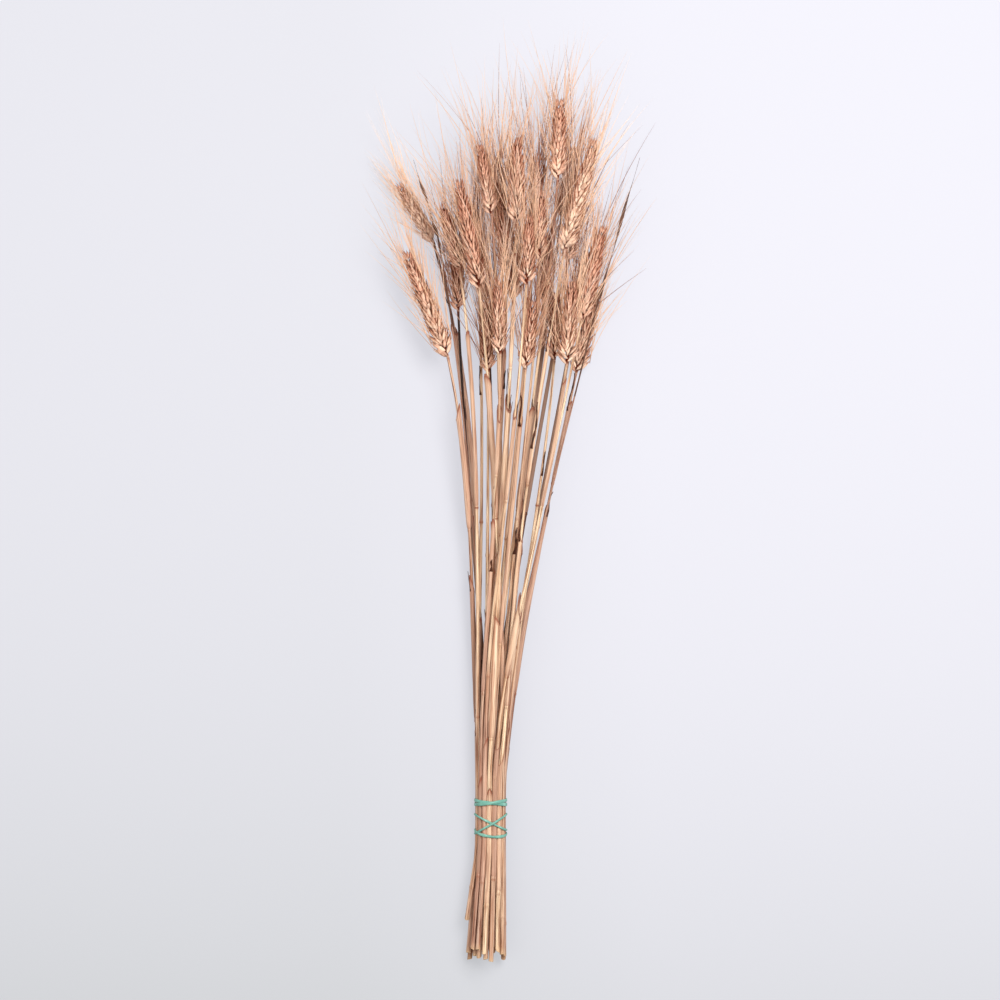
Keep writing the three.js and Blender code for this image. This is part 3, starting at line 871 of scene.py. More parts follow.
def section_at(centre, run, up, wide, thick):
    """A matrix that puts a unit circle square to a run, with its Y side towards up."""
    run = run.normalized()
    side = up.cross(run)
    if side.length < 1e-6:
        side = Vector((1, 0, 0))
    side.normalize()
    lift = run.cross(side)
    placed = Matrix((side * wide, lift * thick, run)).transposed().to_4x4()
    placed.translation = centre
    return placed


class Tube:
    """A closed skin that grows ring by ring from an operator-made circle."""

    def __init__(self, sides):
        self.mesh = bmesh.new()
        self.sides = sides
        self.look = self.mesh.verts.layers.float_color.new("look")
        self.around = self.mesh.verts.layers.float.new("around")
        self.along = self.mesh.verts.layers.float.new("along")
        self.uv = self.mesh.loops.layers.uv.new("UVMap")
        self.material = 0
        self.streak = (0, 0.0)

    def paint(self, ring, along, look):
        """Gives a ring its place on the skin and its look, darker where the streak runs."""
        column, dark = self.streak
        for number, vert in enumerate(ring):
            vert[self.around] = number / self.sides
            vert[self.along] = along
            vert[self.look] = (max(look[0], dark), *look[1:]) if number == column else look

    def start(self, placed, along, look, cap=True):
        """Starts a skin with a circle, closed by a face unless told otherwise."""
        sides = self.sides
        made = bmesh.ops.create_circle(self.mesh, cap_ends=cap, segments=sides, radius=1.0)
        self.ring = list(made["verts"])
        self.first = list(self.ring)
        self.paint(self.ring, along, look)
        bmesh.ops.transform(self.mesh, matrix=placed, verts=self.ring)
        self.placed = placed

    def grow(self, placed, along, look):
        """Pulls the open end on to a new place and size."""
        edges = [
            edge
            for n, vert in enumerate(self.ring)
            for edge in vert.link_edges
            if edge.other_vert(vert) is self.ring[(n + 1) % self.sides]
        ]
        made = bmesh.ops.extrude_edge_only(self.mesh, edges=edges)
        fresh = {item for item in made["geom"] if isinstance(item, bmesh.types.BMVert)}
        follow = [
            next(e.other_vert(vert) for e in vert.link_edges if e.other_vert(vert) in fresh)
            for vert in self.ring
        ]
        bmesh.ops.transform(self.mesh, matrix=placed @ self.placed.inverted(), verts=follow)
        self.paint(follow, along, look)
        for item in made["geom"]:
            if isinstance(item, bmesh.types.BMFace):
                item.material_index = self.material
        self.ring = follow
        self.placed = placed

    def close(self):
        """Closes the open end with a face."""
        face = self.mesh.faces.new(self.ring)
        face.material_index = self.material

    def join_ends(self):
        """Joins the open end to the start, for a ring that closes on itself."""
        edges = []
        for ring in (self.first, self.ring):
            members = set(ring)
            for vert in ring:
                edges += [e for e in vert.link_edges if e.other_vert(vert) in members]
        bmesh.ops.bridge_loops(self.mesh, edges=list(set(edges)))

    def unwrap(self, girth, run_length=None, shift=0.0):
        """Lays the skin out flat, in metres: round it in the first direction and along it in
        the second."""
        for face in self.mesh.faces:
            turns = [loop.vert[self.around] for loop in face.loops]
            runs = [loop.vert[self.along] for loop in face.loops]
            seam = max(turns) - min(turns) > 0.5
            wrap = run_length is not None and max(runs) - min(runs) > run_length / 2
            for loop, turn, run in zip(face.loops, turns, runs):
                turn = turn + 1 if seam and turn < 0.5 else turn
                run = run + run_length if wrap and run < run_length / 2 else run
                loop[self.uv].uv = (turn * girth * MM + shift, run * MM)


def finish_piece(shape, name, node, materials):
    """Turns a bmesh in millimetres into the finished piece that stands for a CAD node."""
    bmesh.ops.recalc_face_normals(shape, faces=shape.faces)
    bmesh.ops.scale(shape, vec=(MM, MM, MM), verts=shape.verts)
    mesh = mesh_of(shape, name)
    mesh.shade_smooth()
    for material in materials:
        mesh.materials.append(material_for(material))
    piece = add_object(name, mesh)
    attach(piece, "root")
    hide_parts(node)


# ---- Straws ----


def joint_heights(stalk, dice):
    """Heights of the joints, as in the CAD stems."""
    heights = []
    along = stalk.cut + dice(*JOINT_FIRST)
    while along < stalk.foot[1] - JOINT_FREE:
        in_tie = TIE_HELD[0] < along < TIE_HELD[1]
        heights.append(along + TIE_HELD[1] - TIE_HELD[0] if in_tie else along)
        along += dice(*JOINT_STEP)
    return heights


def straw_radius(stalk, along):
    """The straw's own radius: full at the tie, slimmer towards its ear, a little different for
    each."""
    slim = blend(1.0, 0.88, rise(along, *SLIMMING))
    own = blend(1.1, stalk.stout, rise(along, *OWN_GIRTH))
    return stalk.radius(along) * slim * own


def straw_section(stalk, along, radius, tilt=0.0, tilt_turn=0.0, oval=1.0):
    """The place of a ring of a straw's skin, tilted where the straw is cut on the slant."""
    placed = section_at(
        stalk.centre(along), stalk.heading(along), UP, radius * oval, radius / oval
    )
    if tilt:
        lean = Matrix.Identity(4)
        lean[2][0] = tilt * radius * math.cos(tilt_turn)
        lean[2][1] = tilt * radius * math.sin(tilt_turn)
        placed = placed @ lean
    return placed


def paler_above_shaded_among_ears(stalk, tone, along):
    """A straw's tone at a height: pale straws get paler above the tie, and darker among the ears as
    painted shade from the heads.
    """
    if stalk.number in BROWN_STRAWS:
        return tone
    paler, darker = (ease(rise(along, *place)) for place in (PALER, PAINTED_EAR_SHADE))
    # The subtracted share is painted shade under the heads.
    return clamp(tone + 0.3 * paler - 0.6 * darker, 0, 1)


def grow_straw(tube, stalk, joints, look, dice, tone, top):
    """The straw itself: a hollow cut end, joints that swell, and a bare neck below the ear."""
    slant = dice(*CUT_SLANT)
    slant_turn = dice(0, math.tau)
    cut = stalk.cut
    radius = straw_radius(stalk, cut) * 1.04
    # The hollow inside the cut end is darker than the straw: painted shade in the bore.
    inside = (0.35, 0.0, max(0.0, tone - 0.35), 0.0)
    rim = (0.0, 0.0, tone, 1.0)
    skin = (0.0, 0.0, tone, 0.3)
    tube.start(straw_section(stalk, cut + look.bore_depth / MM, radius * BORE), cut + 9, inside)
    # How far above the cut, how wide, how far on along the skin, and the look.
    for height, wide, run, shade in (
        (0.3, BORE, 0.3, inside),
        (0.0, BORE * 1.04, 0.0, rim),
        (0.0, 0.95, 0.1, rim),
        (0.5, 1.0, 0.5, skin),
    ):
        ring = straw_section(stalk, cut + height, radius * wide, slant, slant_turn)
        tube.grow(ring, cut + run, shade)
    marks = []
    for along in joints:
        stain = dice(0.1, 0.95) ** 1.6
        marks += [(along + step, swell, brown * stain) for step, swell, brown in JOINT_RINGS]
    plain = cut + 6
    while plain < top - 8:
        if all(abs(plain - joint) > RINGS_OFF for joint in joints):
            marks.append((plain, 0.0, 0.0))
        plain += dice(*RING_STEP)
    marks += [(top - 4, 0.0, 0.1), (top - 1.2, 0.12, 0.4), (top, 0.2, 0.5)]
    wander = tone
    for along, swell, brown in sorted(marks):
        if along <= cut + 1.5 or along > top:
            continue
        wander = clamp(wander + dice(-0.03, 0.03), tone - 0.1, tone + 0.1)
        shown = paler_above_shaded_among_ears(stalk, wander, along)
        oval = 1 + 0.03 * math.sin(along / 37 + stalk.number)
        radius = straw_radius(stalk, along) + swell * look.joint_swell / (DRAWN_SWELL * MM)
        ring = straw_section(stalk, along, radius, oval=oval)
        tube.grow(ring, along, (brown, 0.0, shown, 0.0))
    tube.close()


def grow_sheath(tube, stalk, foot, top, wall, tone, dice):
    """What is left of a leaf's sheath: a loose papery tube, torn off on the slant."""
    tube.streak = (int(dice(0, tube.sides)), dice(0.2, 0.75))
    slant = dice(*TORN_SLANT)
    slant_turn = dice(0, math.tau)
    rings = [(foot + 0.8, 0.05, 0.5), (foot + 2.4, 0.55, 0.2), (foot + 7, 0.85, 0.0)]
    along = foot + 7 + dice(8, 12)
    while along < top - 10:
        rings.append((along, dice(0.85, 1.15), 0.0))
        along += dice(9, 14)
    rings += [(top - 5, 1.1, 0.05), (top - 2.5, 1.3, 0.35), (top - 1.2, 1.4, 0.9)]
    first = True
    for along, loose, brown in rings:
        near_end = clamp((along - top + 14) / 14, 0, 1) ** 2
        radius = straw_radius(stalk, along) + wall * loose
        ring = straw_section(stalk, along, radius, slant * near_end, slant_turn, 1 + 0.05 * loose)
        look = (brown, 1.0, paler_above_shaded_among_ears(stalk, tone, along), 0.0)
        if first:
            tube.start(ring, along, look, cap=False)
            first = False
        else:
            tube.grow(ring, along, look)
    reach = straw_radius(stalk, top)
    # The torn edge turns in to the straw in near black: painted shade in the gap under the sheath.
    for drop, loose in ((0.0, 1.35), (0.1, 0.55)):
        ring = straw_section(stalk, top - drop, reach + wall * loose, slant, slant_turn)
        tube.grow(ring, top, (0.5, 1.0, 0.04, 0.0))
    tube.grow(straw_section(stalk, top - 6, reach - 0.2), top + 6, (0.0, 1.0, 0.05, 0.0))
    tube.streak = (0, 0.0)


def grow_shred(tube, stalk, start, length, dice, girth=1.0):
    """A dark shred of dead leaf that clings to the straw and curls away from it at its end."""
    turn = dice(0.4, 2.74)
    curl = dice(0.3, 1.8)
    wave = dice(0.15, 0.5)
    steps = max(5, round(abs(length) / 4))
    for step in range(steps + 1):
        share = step / steps
        along = start + length * share
        run = stalk.heading(along)
        placed = section_at(stalk.centre(along), run, UP, 1.0, 1.0)
        angle = turn + wave * math.sin(share * 7 + turn * 3)
        out = placed.to_3x3() @ Vector((math.cos(angle), math.sin(angle), 0))
        reach = straw_radius(stalk, along) + 0.5 + curl * share**2
        wide = girth * (0.75 - 0.4 * share) * (1 + 0.35 * math.sin(share * 23 + turn))
        flat = section_at(stalk.centre(along) + out * reach, run, out, max(0.15, wide), 0.16)
        look = (0.0, 0.0, blend(0.0, 0.16, abs(math.sin(share * 9 + turn))), 0.0)
        if step == 0:
            tube.start(flat, along, look)
        else:
            tube.grow(flat, along, look)
    tube.close()


def build_straw(stalk, look):
    """One straw with its joints and sheaths."""
    joints = joint_heights(stalk, Dice(stalk.number))
    dice = Dice(stalk.number + STRAW_SEED)
    # Straws lying low in the pile get darker tones: painted shade.
    depth = rise(stalk.place[1], -11, 22)
    tone = clamp(blend(*STRAW_TONES_SHADED_BELOW, depth**0.8) + dice(*TONE_STRAY), 0, 1)
    if stalk.number in BROWN_STRAWS:
        tone = dice(*BROWN_TONES)
    top = stalk.foot[1] - NECK_GAP
    tube = Tube(look.sides)
    grow_straw(tube, stalk, joints, look, dice, tone, top)
    for number, joint in enumerate(joints):
        reach = joints[number + 1] - 4 if number + 1 < len(joints) else top - 12
        free = reach - joint
        wall = look.sheath_wall / MM * dice(0.8, 1.2) * dice.seldom(*LOOSE_SHEATH)
        if joint < TIE_HELD[1] + 8 and reach > TIE_HELD[0]:
            wall *= 0.3
        if dice() < SHEATH_ODDS and free > 30:
            end = joint + free * dice(0.35, 1.0)
            duller = clamp(tone + dice(-0.3, 0.05), 0, 1)
            grow_sheath(tube, stalk, joint, end, wall, duller, dice)
            if dice() < SHRED_ODDS and end > TIE_HELD[1] + 30:
                grow_shred(tube, stalk, end - 6, dice(12, 38), dice)
    for number, start, length, girth in SHREDS:
        if number == stalk.number:
            grow_shred(tube, stalk, start, length, dice, girth)
    tube.unwrap(STRAW_GIRTH, shift=stalk.number * SKIN_SHIFT)
    number = f"{stalk.number:02d}"
    finish_piece(tube.mesh, f"straw_{number}", f"stem_{number}", ["dry_straw"])


# ---- Ears ----


def husk_template():
    """One husk of unit size: a keeled boat, flat inside, that runs along Z to a beak."""
    shape = bmesh.new()
    bmesh.ops.create_uvsphere(shape, u_segments=6, v_segments=7, radius=1.0)
    quarter = Matrix.Rotation(math.pi / 2, 3, "Z")
    bmesh.ops.rotate(shape, cent=(0, 0, 0), matrix=quarter, verts=shape.verts)
    paint = shape.verts.layers.float_color.new("look")
    for vert in shape.verts:
        up = (vert.co.z + 1) / 2
        ring = math.hypot(vert.co.x, vert.co.y)
        across, out = (vert.co.x / ring, vert.co.y / ring) if ring > 1e-4 else (0.0, 0.0)
        full = math.sin(math.pi * clamp(up, 0.0, 1.0) ** 0.74) ** 0.85 if 0 < up < 1 else 0.0
        beak = 1 - 0.5 * rise(up, 0.6, 0.4)
        keel = 1.3 if out > 0.9 else 1.0
        hollow = 0.3 if out < -0.3 else 1.0
        vert.co.x = across * full * beak
        vert.co.y = out * full * beak * keel * hollow + 0.25 * up * up
        vert.co.z = up
        # The third channel, high on the keel and low inside, carries the painted highlight and the
        # painted shade.
        vert[paint] = (up, 0.5, 0.5 + 0.5 * out, 0.5)
    bmesh.ops.recalc_face_normals(shape, faces=shape.faces)
    return mesh_of(shape, "husk_template")


def awn_template(look):
    """One awn of unit size: a three-sided bristle along Z that tapers late."""
    shape = bmesh.new()
    point = look.awn_tip / look.awn_root
    bmesh.ops.create_cone(
        shape, cap_ends=True, segments=3, radius1=1.0, radius2=point, depth=1.0
    )
    bmesh.ops.translate(shape, vec=(0, 0, 0.5), verts=shape.verts)
    long_edges = [e for e in shape.edges if abs(e.verts[0].co.z - e.verts[1].co.z) > 0.5]
    bmesh.ops.subdivide_edges(shape, edges=long_edges, cuts=8, use_grid_fill=True)
    paint = shape.verts.layers.float_color.new("look")
    for vert in shape.verts:
        fuller = blend(1.0, point, vert.co.z**2.2) / blend(1.0, point, vert.co.z)
        vert.co.x *= fuller
        vert.co.y *= fuller
        vert[paint] = (vert.co.z, 0.5, 1.0, 0.5)
    for face in shape.faces:
        face.material_index = 1
    bmesh.ops.recalc_face_normals(shape, faces=shape.faces)
    return mesh_of(shape, "awn_template")


class Pile:
    """Many placed copies of templates, gathered in one bmesh."""

    def __init__(self):
        self.mesh = bmesh.new()
        self.parts = {}

    def read(self, template):
        """A template's points and look, read once."""
        if template.name not in self.parts:
            points = np.empty(len(template.vertices) * 3, np.float32)
            template.vertices.foreach_get("co", points)
            look = np.empty(len(template.vertices) * 4, np.float32)
            template.attributes["look"].data.foreach_get("color", look)
            self.parts[template.name] = (points.reshape(-1, 3), look.reshape(-1, 4))
        return self.parts[template.name]

    def drop(self, template, points, tone, ripe, palest=0.0):
        """Adds a copy with its own points, tone, ripeness and least paleness, pressed flat where
        it would sink in the floor."""
        top, least = PRESS
        low = points[:, 2] < top
        points[low, 2] = least + (top - least) * np.exp((points[low, 2] - top) / (top - least))
        look = self.read(template)[1].copy()
        look[:, 0] = np.maximum(look[:, 0], palest)
        look[:, 2] = np.maximum(look[:, 2], PALE_KEEL * palest)
        look[:, 1] = tone
        look[:, 3] = ripe
        copy = template.copy()
        copy.vertices.foreach_set("co", points.astype(np.float32).ravel())
        copy.attributes["look"].data.foreach_set("color", look.ravel())
        self.mesh.from_mesh(copy)
        bpy.data.meshes.remove(copy)

    def place(self, template, placed, *look):
        """Adds a copy placed by a matrix."""
        points = self.read(template)[0]
        turned = points @ np.array(placed.to_3x3()).T + np.array(placed.translation)
        self.drop(template, turned, *look)

    def bend(self, template, line, wide, up, tone, ripe):
        """Adds a copy bent along a line, given as a function from 0 to 1."""
        points = self.read(template)[0]
        made = np.empty_like(points)
        for height in np.unique(points[:, 2].round(5)):
            here = line(height)
            run = (line(min(1.0, height + 0.02)) - line(max(0.0, height - 0.02))).normalized()
            side = run.cross(up).normalized()
            lift = side.cross(run)
            chosen = np.abs(points[:, 2] - height) < 1e-4
            aside, above = (points[chosen, n : n + 1] * wide for n in (0, 1))
            made[chosen] = np.array(here) + (aside * np.array(side) + above * np.array(lift))
        self.drop(template, made, tone, ripe)


def ear_frame(stalk):
    """The ear's foot, tip, run, the direction of one rank of spikelets and that of its face."""
    foot = stalk.settled(stalk.foot[1])
    tip = stalk.settled(stalk.tip[1])
    run = (tip - foot).normalized()
    level = run.cross(UP).normalized()
    rank = Quaternion(run, stalk.turn) @ level
    return foot, tip, run, rank, rank.cross(run)


def place_husk(pile, template, root, aim, out, length, wide, thick, *look):
    """Puts one husk at its root, along aim and with its keel outwards, and gives its point."""
    run = aim.normalized()
    side = out.cross(run).normalized()
    keel = run.cross(side)
    placed = Matrix((side * wide, keel * thick, run * length)).transposed().to_4x4()
    placed.translation = root
    pile.place(template, placed, *look)
    return root + run * length * 0.98 + keel * thick * 0.35


def build_spikelet(
    pile, husk, look, dice, at, run, rank, face, lean, size, ripe, plump, pale, foot=False
):
    """One spikelet: two outer husks with short beaks, and inside them those that bear awns.
    Gives the places where awns grow."""
    length = look.husk_length / MM * size
    wide = look.husk_width / MM / 2 * size * plump
    thick = look.husk_thickness / MM / 2 * size
    tips = []
    for up, out, side, tilt, fan, reach, girth, awned in HUSKS:
        flare, longer = (2.0, 1.2) if foot and not awned else (1.0, 1.0)
        for way in (-1, 1) if side else (0,):
            aim = run + rank * (lean * tilt * flare * dice(0.75, 1.25))
            aim += face * (way * fan + dice(-0.16, 0.16))
            keel = rank * (out * 0.5 + dice(-0.3, 0.3))
            keel += face * (way * (1.1 - 0.3 * out) + dice(-0.15, 0.15))
            jitter = Vector((dice(-1, 1), dice(-1, 1), dice(-1, 1))) * look.unevenness / MM
            root = at + (run * up + rank * out + face * (way * side)) * size + jitter
            sizes = (length * reach * dice(0.88, 1.1) * longer, wide * girth, thick)
            shown = (dice(), ripe, FOOT_PALE if foot else pale)
            tip = place_husk(pile, husk, root, aim, keel, *sizes, *shown)
            if awned:
                tips.append(tip)
    return tips


def grow_awn(pile, template, look, dice, tip, run, out, spread, tone, ripe):
    """One awn from a husk's point, bent a little, if one fits in the bunch's reach."""
    low, high = CAD_BOX[0] / MM, CAD_BOX[1] / MM
    side = run.cross(out).normalized()
    for _ in range(AWN_TRIES):
        length = blend(look.awn_shortest, look.awn_longest, dice() ** 1.9) / MM
        length *= dice.seldom(*LONG_AWN)
        angle = dice(-1.6, 1.6)
        outward = out * math.cos(angle) + side * math.sin(angle)
        away = outward * spread * dice(0.2, 1.3) * dice.seldom(*WIDE_AWN)
        aim = (run + away).normalized()
        curl = outward * dice(-0.1, 0.2) + Vector((dice(-1, 1), 0, dice(-1, 1))) * 0.06
        end = tip + (aim + curl) * length
        lowest = min(end.z, (tip + aim * length / 2).z)
        if low.x < end.x < high.x and end.y < high.y and AWN_FLOOR < lowest and end.z < high.z:
            break
    else:
        return
    start = tip - aim * 1.5

    def line(share):
        bent = tip + aim * (share * length) + curl * (share * share * length)
        return start + (bent - tip)

    pile.bend(template, line, look.awn_root / MM * dice(0.6, 1.2), out, tone, ripe)


def build_ear(stalk, look, husk, awn):
    """One bearded ear: two ranks of spikelets up its run, one more at its tip, and its awns."""
    foot, tip, run, rank, face = ear_frame(stalk)
    dice = Dice(stalk.number + EAR_SEED)
    ripe = EAR_RIPENESS[stalk.number - 1]
    plump = PLUMP.get(stalk.number, USUAL_PLUMP)
    # An ear that lies in the shadow of the ears above gets pale husks: painted light.
    pale = PAINTED_LIGHT_EARS.get(stalk.number, 0.0)
    length = (tip - foot).length
    size = clamp(length / USUAL_EAR, 0.95, 1.12)
    pile = Pile()
    count = 2 * round(look.spikelets_a_side * clamp(length / USUAL_EAR, 0.92, 1.4))
    last = length - 1.2 * look.husk_length / MM * size
    growth = []
    for k in range(count):
        share = k / (count - 1)
        at = foot + run * blend(0.8, last, share)
        out = rank if k % 2 else -rank
        swell = 0.5 + 0.52 * math.sin(math.pi * clamp(share * 0.78 + 0.2, 0, 1)) ** 0.6
        lean = blend(*LEAN, share) * (1.7 * stalk.flare if share < 0.16 else 1.0)
        twist = Quaternion(run, dice(-SPIKELET_TURN, SPIKELET_TURN))
        here = clamp(ripe + blend(*RIPENING, share**1.7), 0, 1)
        lie = (at, run, twist @ out, twist @ face, lean, swell * size)
        tips = build_spikelet(pile, husk, look, dice, *lie, here, plump, pale, foot=k < 3)
        growth.append((tips, out, share))
    riper = clamp(ripe + 0.6, 0, 1)
    lie = (foot + run * (last + 2.5), run, face, rank, 0.34, 0.78 * size)
    tips = build_spikelet(pile, husk, look, dice, *lie, riper, plump * 0.72, pale)
    growth.append((tips, face, 1.0))
    inner = stalk.number > INNER_FROM
    awned = look.awns_a_spikelet + (2 if inner else 1 if stalk.number in BUSHY else 0)
    for turn, (tips, out, share) in enumerate(growth):
        spread = blend(*AWN_SPREAD, share**0.7)
        for number, place in enumerate(tips):
            if (number + turn) % len(tips) < awned:
                # Inner ears' awns are riper and often dark: painted shade deep in the bunch.
                tone = dice(0.7, 1.0) if inner and dice() < SHADED_DARK_AWN else dice(0.0, 0.74)
                shown = (tone, riper if inner else ripe)
                grow_awn(pile, awn, look, dice, place, run, out, spread, *shown)
    # The core takes the darkest root and flank colour: painted shade that shows in the gaps between
    # husks.
    core = Tube(6)
    core.start(section_at(foot - run * 0.8, run, UP, 1.15, 1.15), 0, (0.4, 0.5, 0.95, 0.3))
    for share, wide in ((0.04, 1.6), (0.5, 2.3), (0.84, 1.3)):
        ring = section_at(foot + run * (length * share), run, UP, wide, wide)
        core.grow(ring, 0, (0.0, 0.5, 0.45, 1.0))
    core.close()
    core_mesh = mesh_of(core.mesh, "ear_core")
    pile.mesh.from_mesh(core_mesh)
    bpy.data.meshes.remove(core_mesh)
    number = f"{stalk.number:02d}"
    materials = ["dry_chaff", "dry_awn"]
    finish_piece(pile.mesh, f"wheat_ear_{number}", f"ear_{number}", materials)


# ---- Headless stalks ----


def withered(stalk, along):
    """The radius of a headless stalk, which has shrivelled above the tie."""
    return stalk.radius(along) * blend(1.0, WITHERED, ease(rise(along, *WITHERING)))


def build_dry_blade(stalk, look):
    """A thin dry stalk whose end is a dead leaf, rolled and twisted into a dark strand."""
    dice = Dice(stalk.number + STRAW_SEED)
    tube = Tube(8)
    top = stalk.foot[1]
    along = stalk.cut
    tube.start(straw_section(stalk, along, stalk.radius(along)), along, (0.0, 0.0, 0.5, 1.0))
    along += 8
    while along < top - LEAF_ROUND:
        ring = straw_section(stalk, along, withered(stalk, along))
        tube.grow(ring, along, (0.0, 0.0, 0.5, 0.0))
        along += 11
    tube.material = 1
    foot = stalk.centre(top)
    tip = stalk.settled(stalk.tip[1])
    heading = (tip - foot).normalized()
    wide = look.blade_width / MM / 2
    for step in range(1, 9):
        share = step / 8
        here = blend(along, top, share)
        oval = blend(1.0, 1.35, share)
        ring = straw_section(stalk, here, withered(stalk, here), oval=oval)
        tube.grow(ring, here, LEAF_LOOK)
    span = (tip - foot).length
    for step in range(1, LEAF_STEPS + 1):
        share = step / LEAF_STEPS
        sway = (math.sin(share * 9 + stalk.number) * 0.5, 0, math.cos(share * 7) * 0.5)
        centre = foot + heading * (span * share) + Vector(sway) * math.sin(math.pi * share)
        girth = wide * (0.75 + 0.45 * math.sin(share * 11 + 1)) * (1 - share**3) + 0.12
        up = Quaternion(heading, share * 5.5 + dice(-0.1, 0.1)) @ UP
        placed = section_at(centre, heading, up, girth, max(0.12, girth * 0.38))
        tube.grow(placed, top + span * share, LEAF_LOOK)
    tube.close()
    tube.unwrap(STRAW_GIRTH)
    name = stalk.name.replace("dry_blade", "dead_leaf")
    finish_piece(tube.mesh, name, stalk.name, ["dry_straw", "dead_leaf"])


# ---- Bands ----


def band_line(levels, look):
    """Points along a band's windings, of which the last lifts where it crosses the others."""
    steps = look.steps_a_turn
    for winding, start in enumerate(levels):
        end = levels[(winding + 1) % len(levels)]
        crossing = winding == len(levels) - 1
        bowed = winding == 1 and not crossing
        for step in range(steps):
            angle = math.pi - math.tau * step / steps
            share = clamp(2 * step / steps, 0, 1)
            lifts = crossing and 0 < share < 1
            over = math.exp(-(((share - 0.5) / 0.17) ** 2)) if lifts else 0.0
            bow = BAND_SAG * math.sin(math.pi * share) if bowed else 0.0
            radius = BAND_RADIUS + look.band_thickness / MM * 0.95 * over
            across = radius * math.cos(angle) - ORIGIN_ACROSS
            along = blend(start, end, ease(share)) + bow - LENGTH / 2
            yield Vector((across, along, TIE_UP + radius * math.sin(angle)))


def build_band(name, levels, look):
    """A rubber band, wound round the straws: flat in section, with soft edges."""
    points = list(band_line(levels, look))
    wide = look.band_width / MM / 2
    thick = look.band_thickness / MM / 2
    tube = Tube(10)
    middle = Vector((-ORIGIN_ACROSS, 0, TIE_UP))
    count = len(points)
    length = 0.0
    flats = []
    for n, point in enumerate(points):
        run = points[(n + 1) % count] - points[n - 1]
        out = point - middle
        out.y = 0
        pinch = 1 + 0.1 * math.sin(n * 0.7) + 0.06 * math.sin(n * 1.9 + 1)
        pinch *= 1.2 if len(levels) == 2 else (0.78, 1.0, 0.78)[n // look.steps_a_turn]
        flats.append(section_at(point, run, out.normalized(), wide * pinch, thick / pinch**0.5))
    plain = (0.0, 0.0, 0.5, 0.0)
    tube.start(flats[0], 0.0, plain, cap=False)
    for n in range(1, count):
        length += (points[n] - points[n - 1]).length
        tube.grow(flats[n], length, plain)
    length += (points[0] - points[-1]).length
    tube.join_ends()
    tube.unwrap(math.tau * 1.1, length)
    finish_piece(tube.mesh, f"rubber_{name}", name, ["natural_rubber"])


# ---- Stage ----


def add_area_light(name, target, offset, size, power, colour):
    """Adds a square light that shines at a target."""
    data = bpy.data.lights.new(name, "AREA")
    data.shape = "SQUARE"
    data.size = size
    data.energy = power
    data.color = colour
    light = add_object(name, data)
    light.location = target + offset
    light.rotation_euler = (-offset).to_track_quat("-Z", "Y").to_euler()


def build_stage(look):
    """Floor, soft studio light and the camera straight above, at the photograph's framing."""
    shape = bmesh.new()
    bmesh.ops.create_grid(shape, x_segments=1, y_segments=1, size=look.floor_size / 2)
    mesh = mesh_of(shape, "studio_floor")
    mesh.materials.append(material_for("floor_with_painted_glow"))
    floor = add_object("studio_floor", mesh)
    centre = Vector((look.view_across, look.view_along, 0))
    for name, offset, size, power, colour in (
        ("key_light", (0.72, 0.8, 2.2), 1.3, look.key_power, (1.0, 0.985, 0.965)),
        ("fill_light", (-1.4, -0.4, 2.0), 2.2, look.fill_power, (1.0, 0.98, 0.95)),
    ):
        add_area_light(name, centre, Vector(offset), size, power, colour)
    world = bpy.data.worlds.new("soft_studio")
    world.use_nodes = True
    sky = world.node_tree.nodes["Background"].inputs
    sky["Color"].default_value = opaque(look.sky)
    sky["Strength"].default_value = look.sky_strength
    scene = bpy.context.scene
    scene.world = world
    scene.view_settings.view_transform = "Standard"
    data = bpy.data.cameras.new("camera")
    data.sensor_width = 36.0
    reach = look.camera_height - look.focus_up
    data.angle = 2 * math.atan(look.frame_width / 2 / reach)
    data.clip_end = 50.0
    scene.camera = add_object("camera", data)
    scene.camera.location = (centre.x, centre.y, look.camera_height)


# ---- Settings, operators and panel ----


def setting(kind, name, description, default, **more):
    """A setting of the add-on, as a property of Blender's own kind."""
    return kind(name=name, description=description, default=default, **more)


def length_setting(name, description, default, least=0.0):
    """A length in metres."""
    more = {"min": least, "unit": "LENGTH", "precision": 5}
    return setting(bpy.props.FloatProperty, name, description, default, **more)


def count_setting(name, description, default, least, most):
    """A whole number."""
    return setting(bpy.props.IntProperty, name, description, default, min=least, max=most)


def strength_setting(name, description, default, unit="NONE"):
    """The strength of a light."""
    return setting(bpy.props.FloatProperty, name, description, default, unit=unit)


def colour_setting(name, description, code):
    """A colour, given as an sRGB hex code."""
    more = {"subtype": "COLOR", "size": 3, "min": 0.0, "max": 1.0}
    return setting(bpy.props.FloatVectorProperty, name, description, linear(code), **more)


class WheatStraw(bpy.types.PropertyGroup):
    """Sizes and colours of the straws."""

    straw_gold: colour_setting("Golden straw", "Straw that dried in the sun", "DDC0A4")
    straw_pink: colour_setting("Pinkish straw", "Straw with a pinkish beige skin", "C8A592")
    joint: colour_setting("Joint", "Swollen joint", "8E4B33")
    sides: count_setting("Sides", "Sides of each straw's skin", 12, 6, 24)
    joint_swell: length_setting("Joint swell", "How far a joint stands out from the straw", 0.0004)
    sheath_wall: length_setting("Sheath wall", "How far a sheath stands off the straw", 0.00048)
    bore_depth: length_setting("Bore depth", "How deep the hollow in the cut end shows", 0.009)


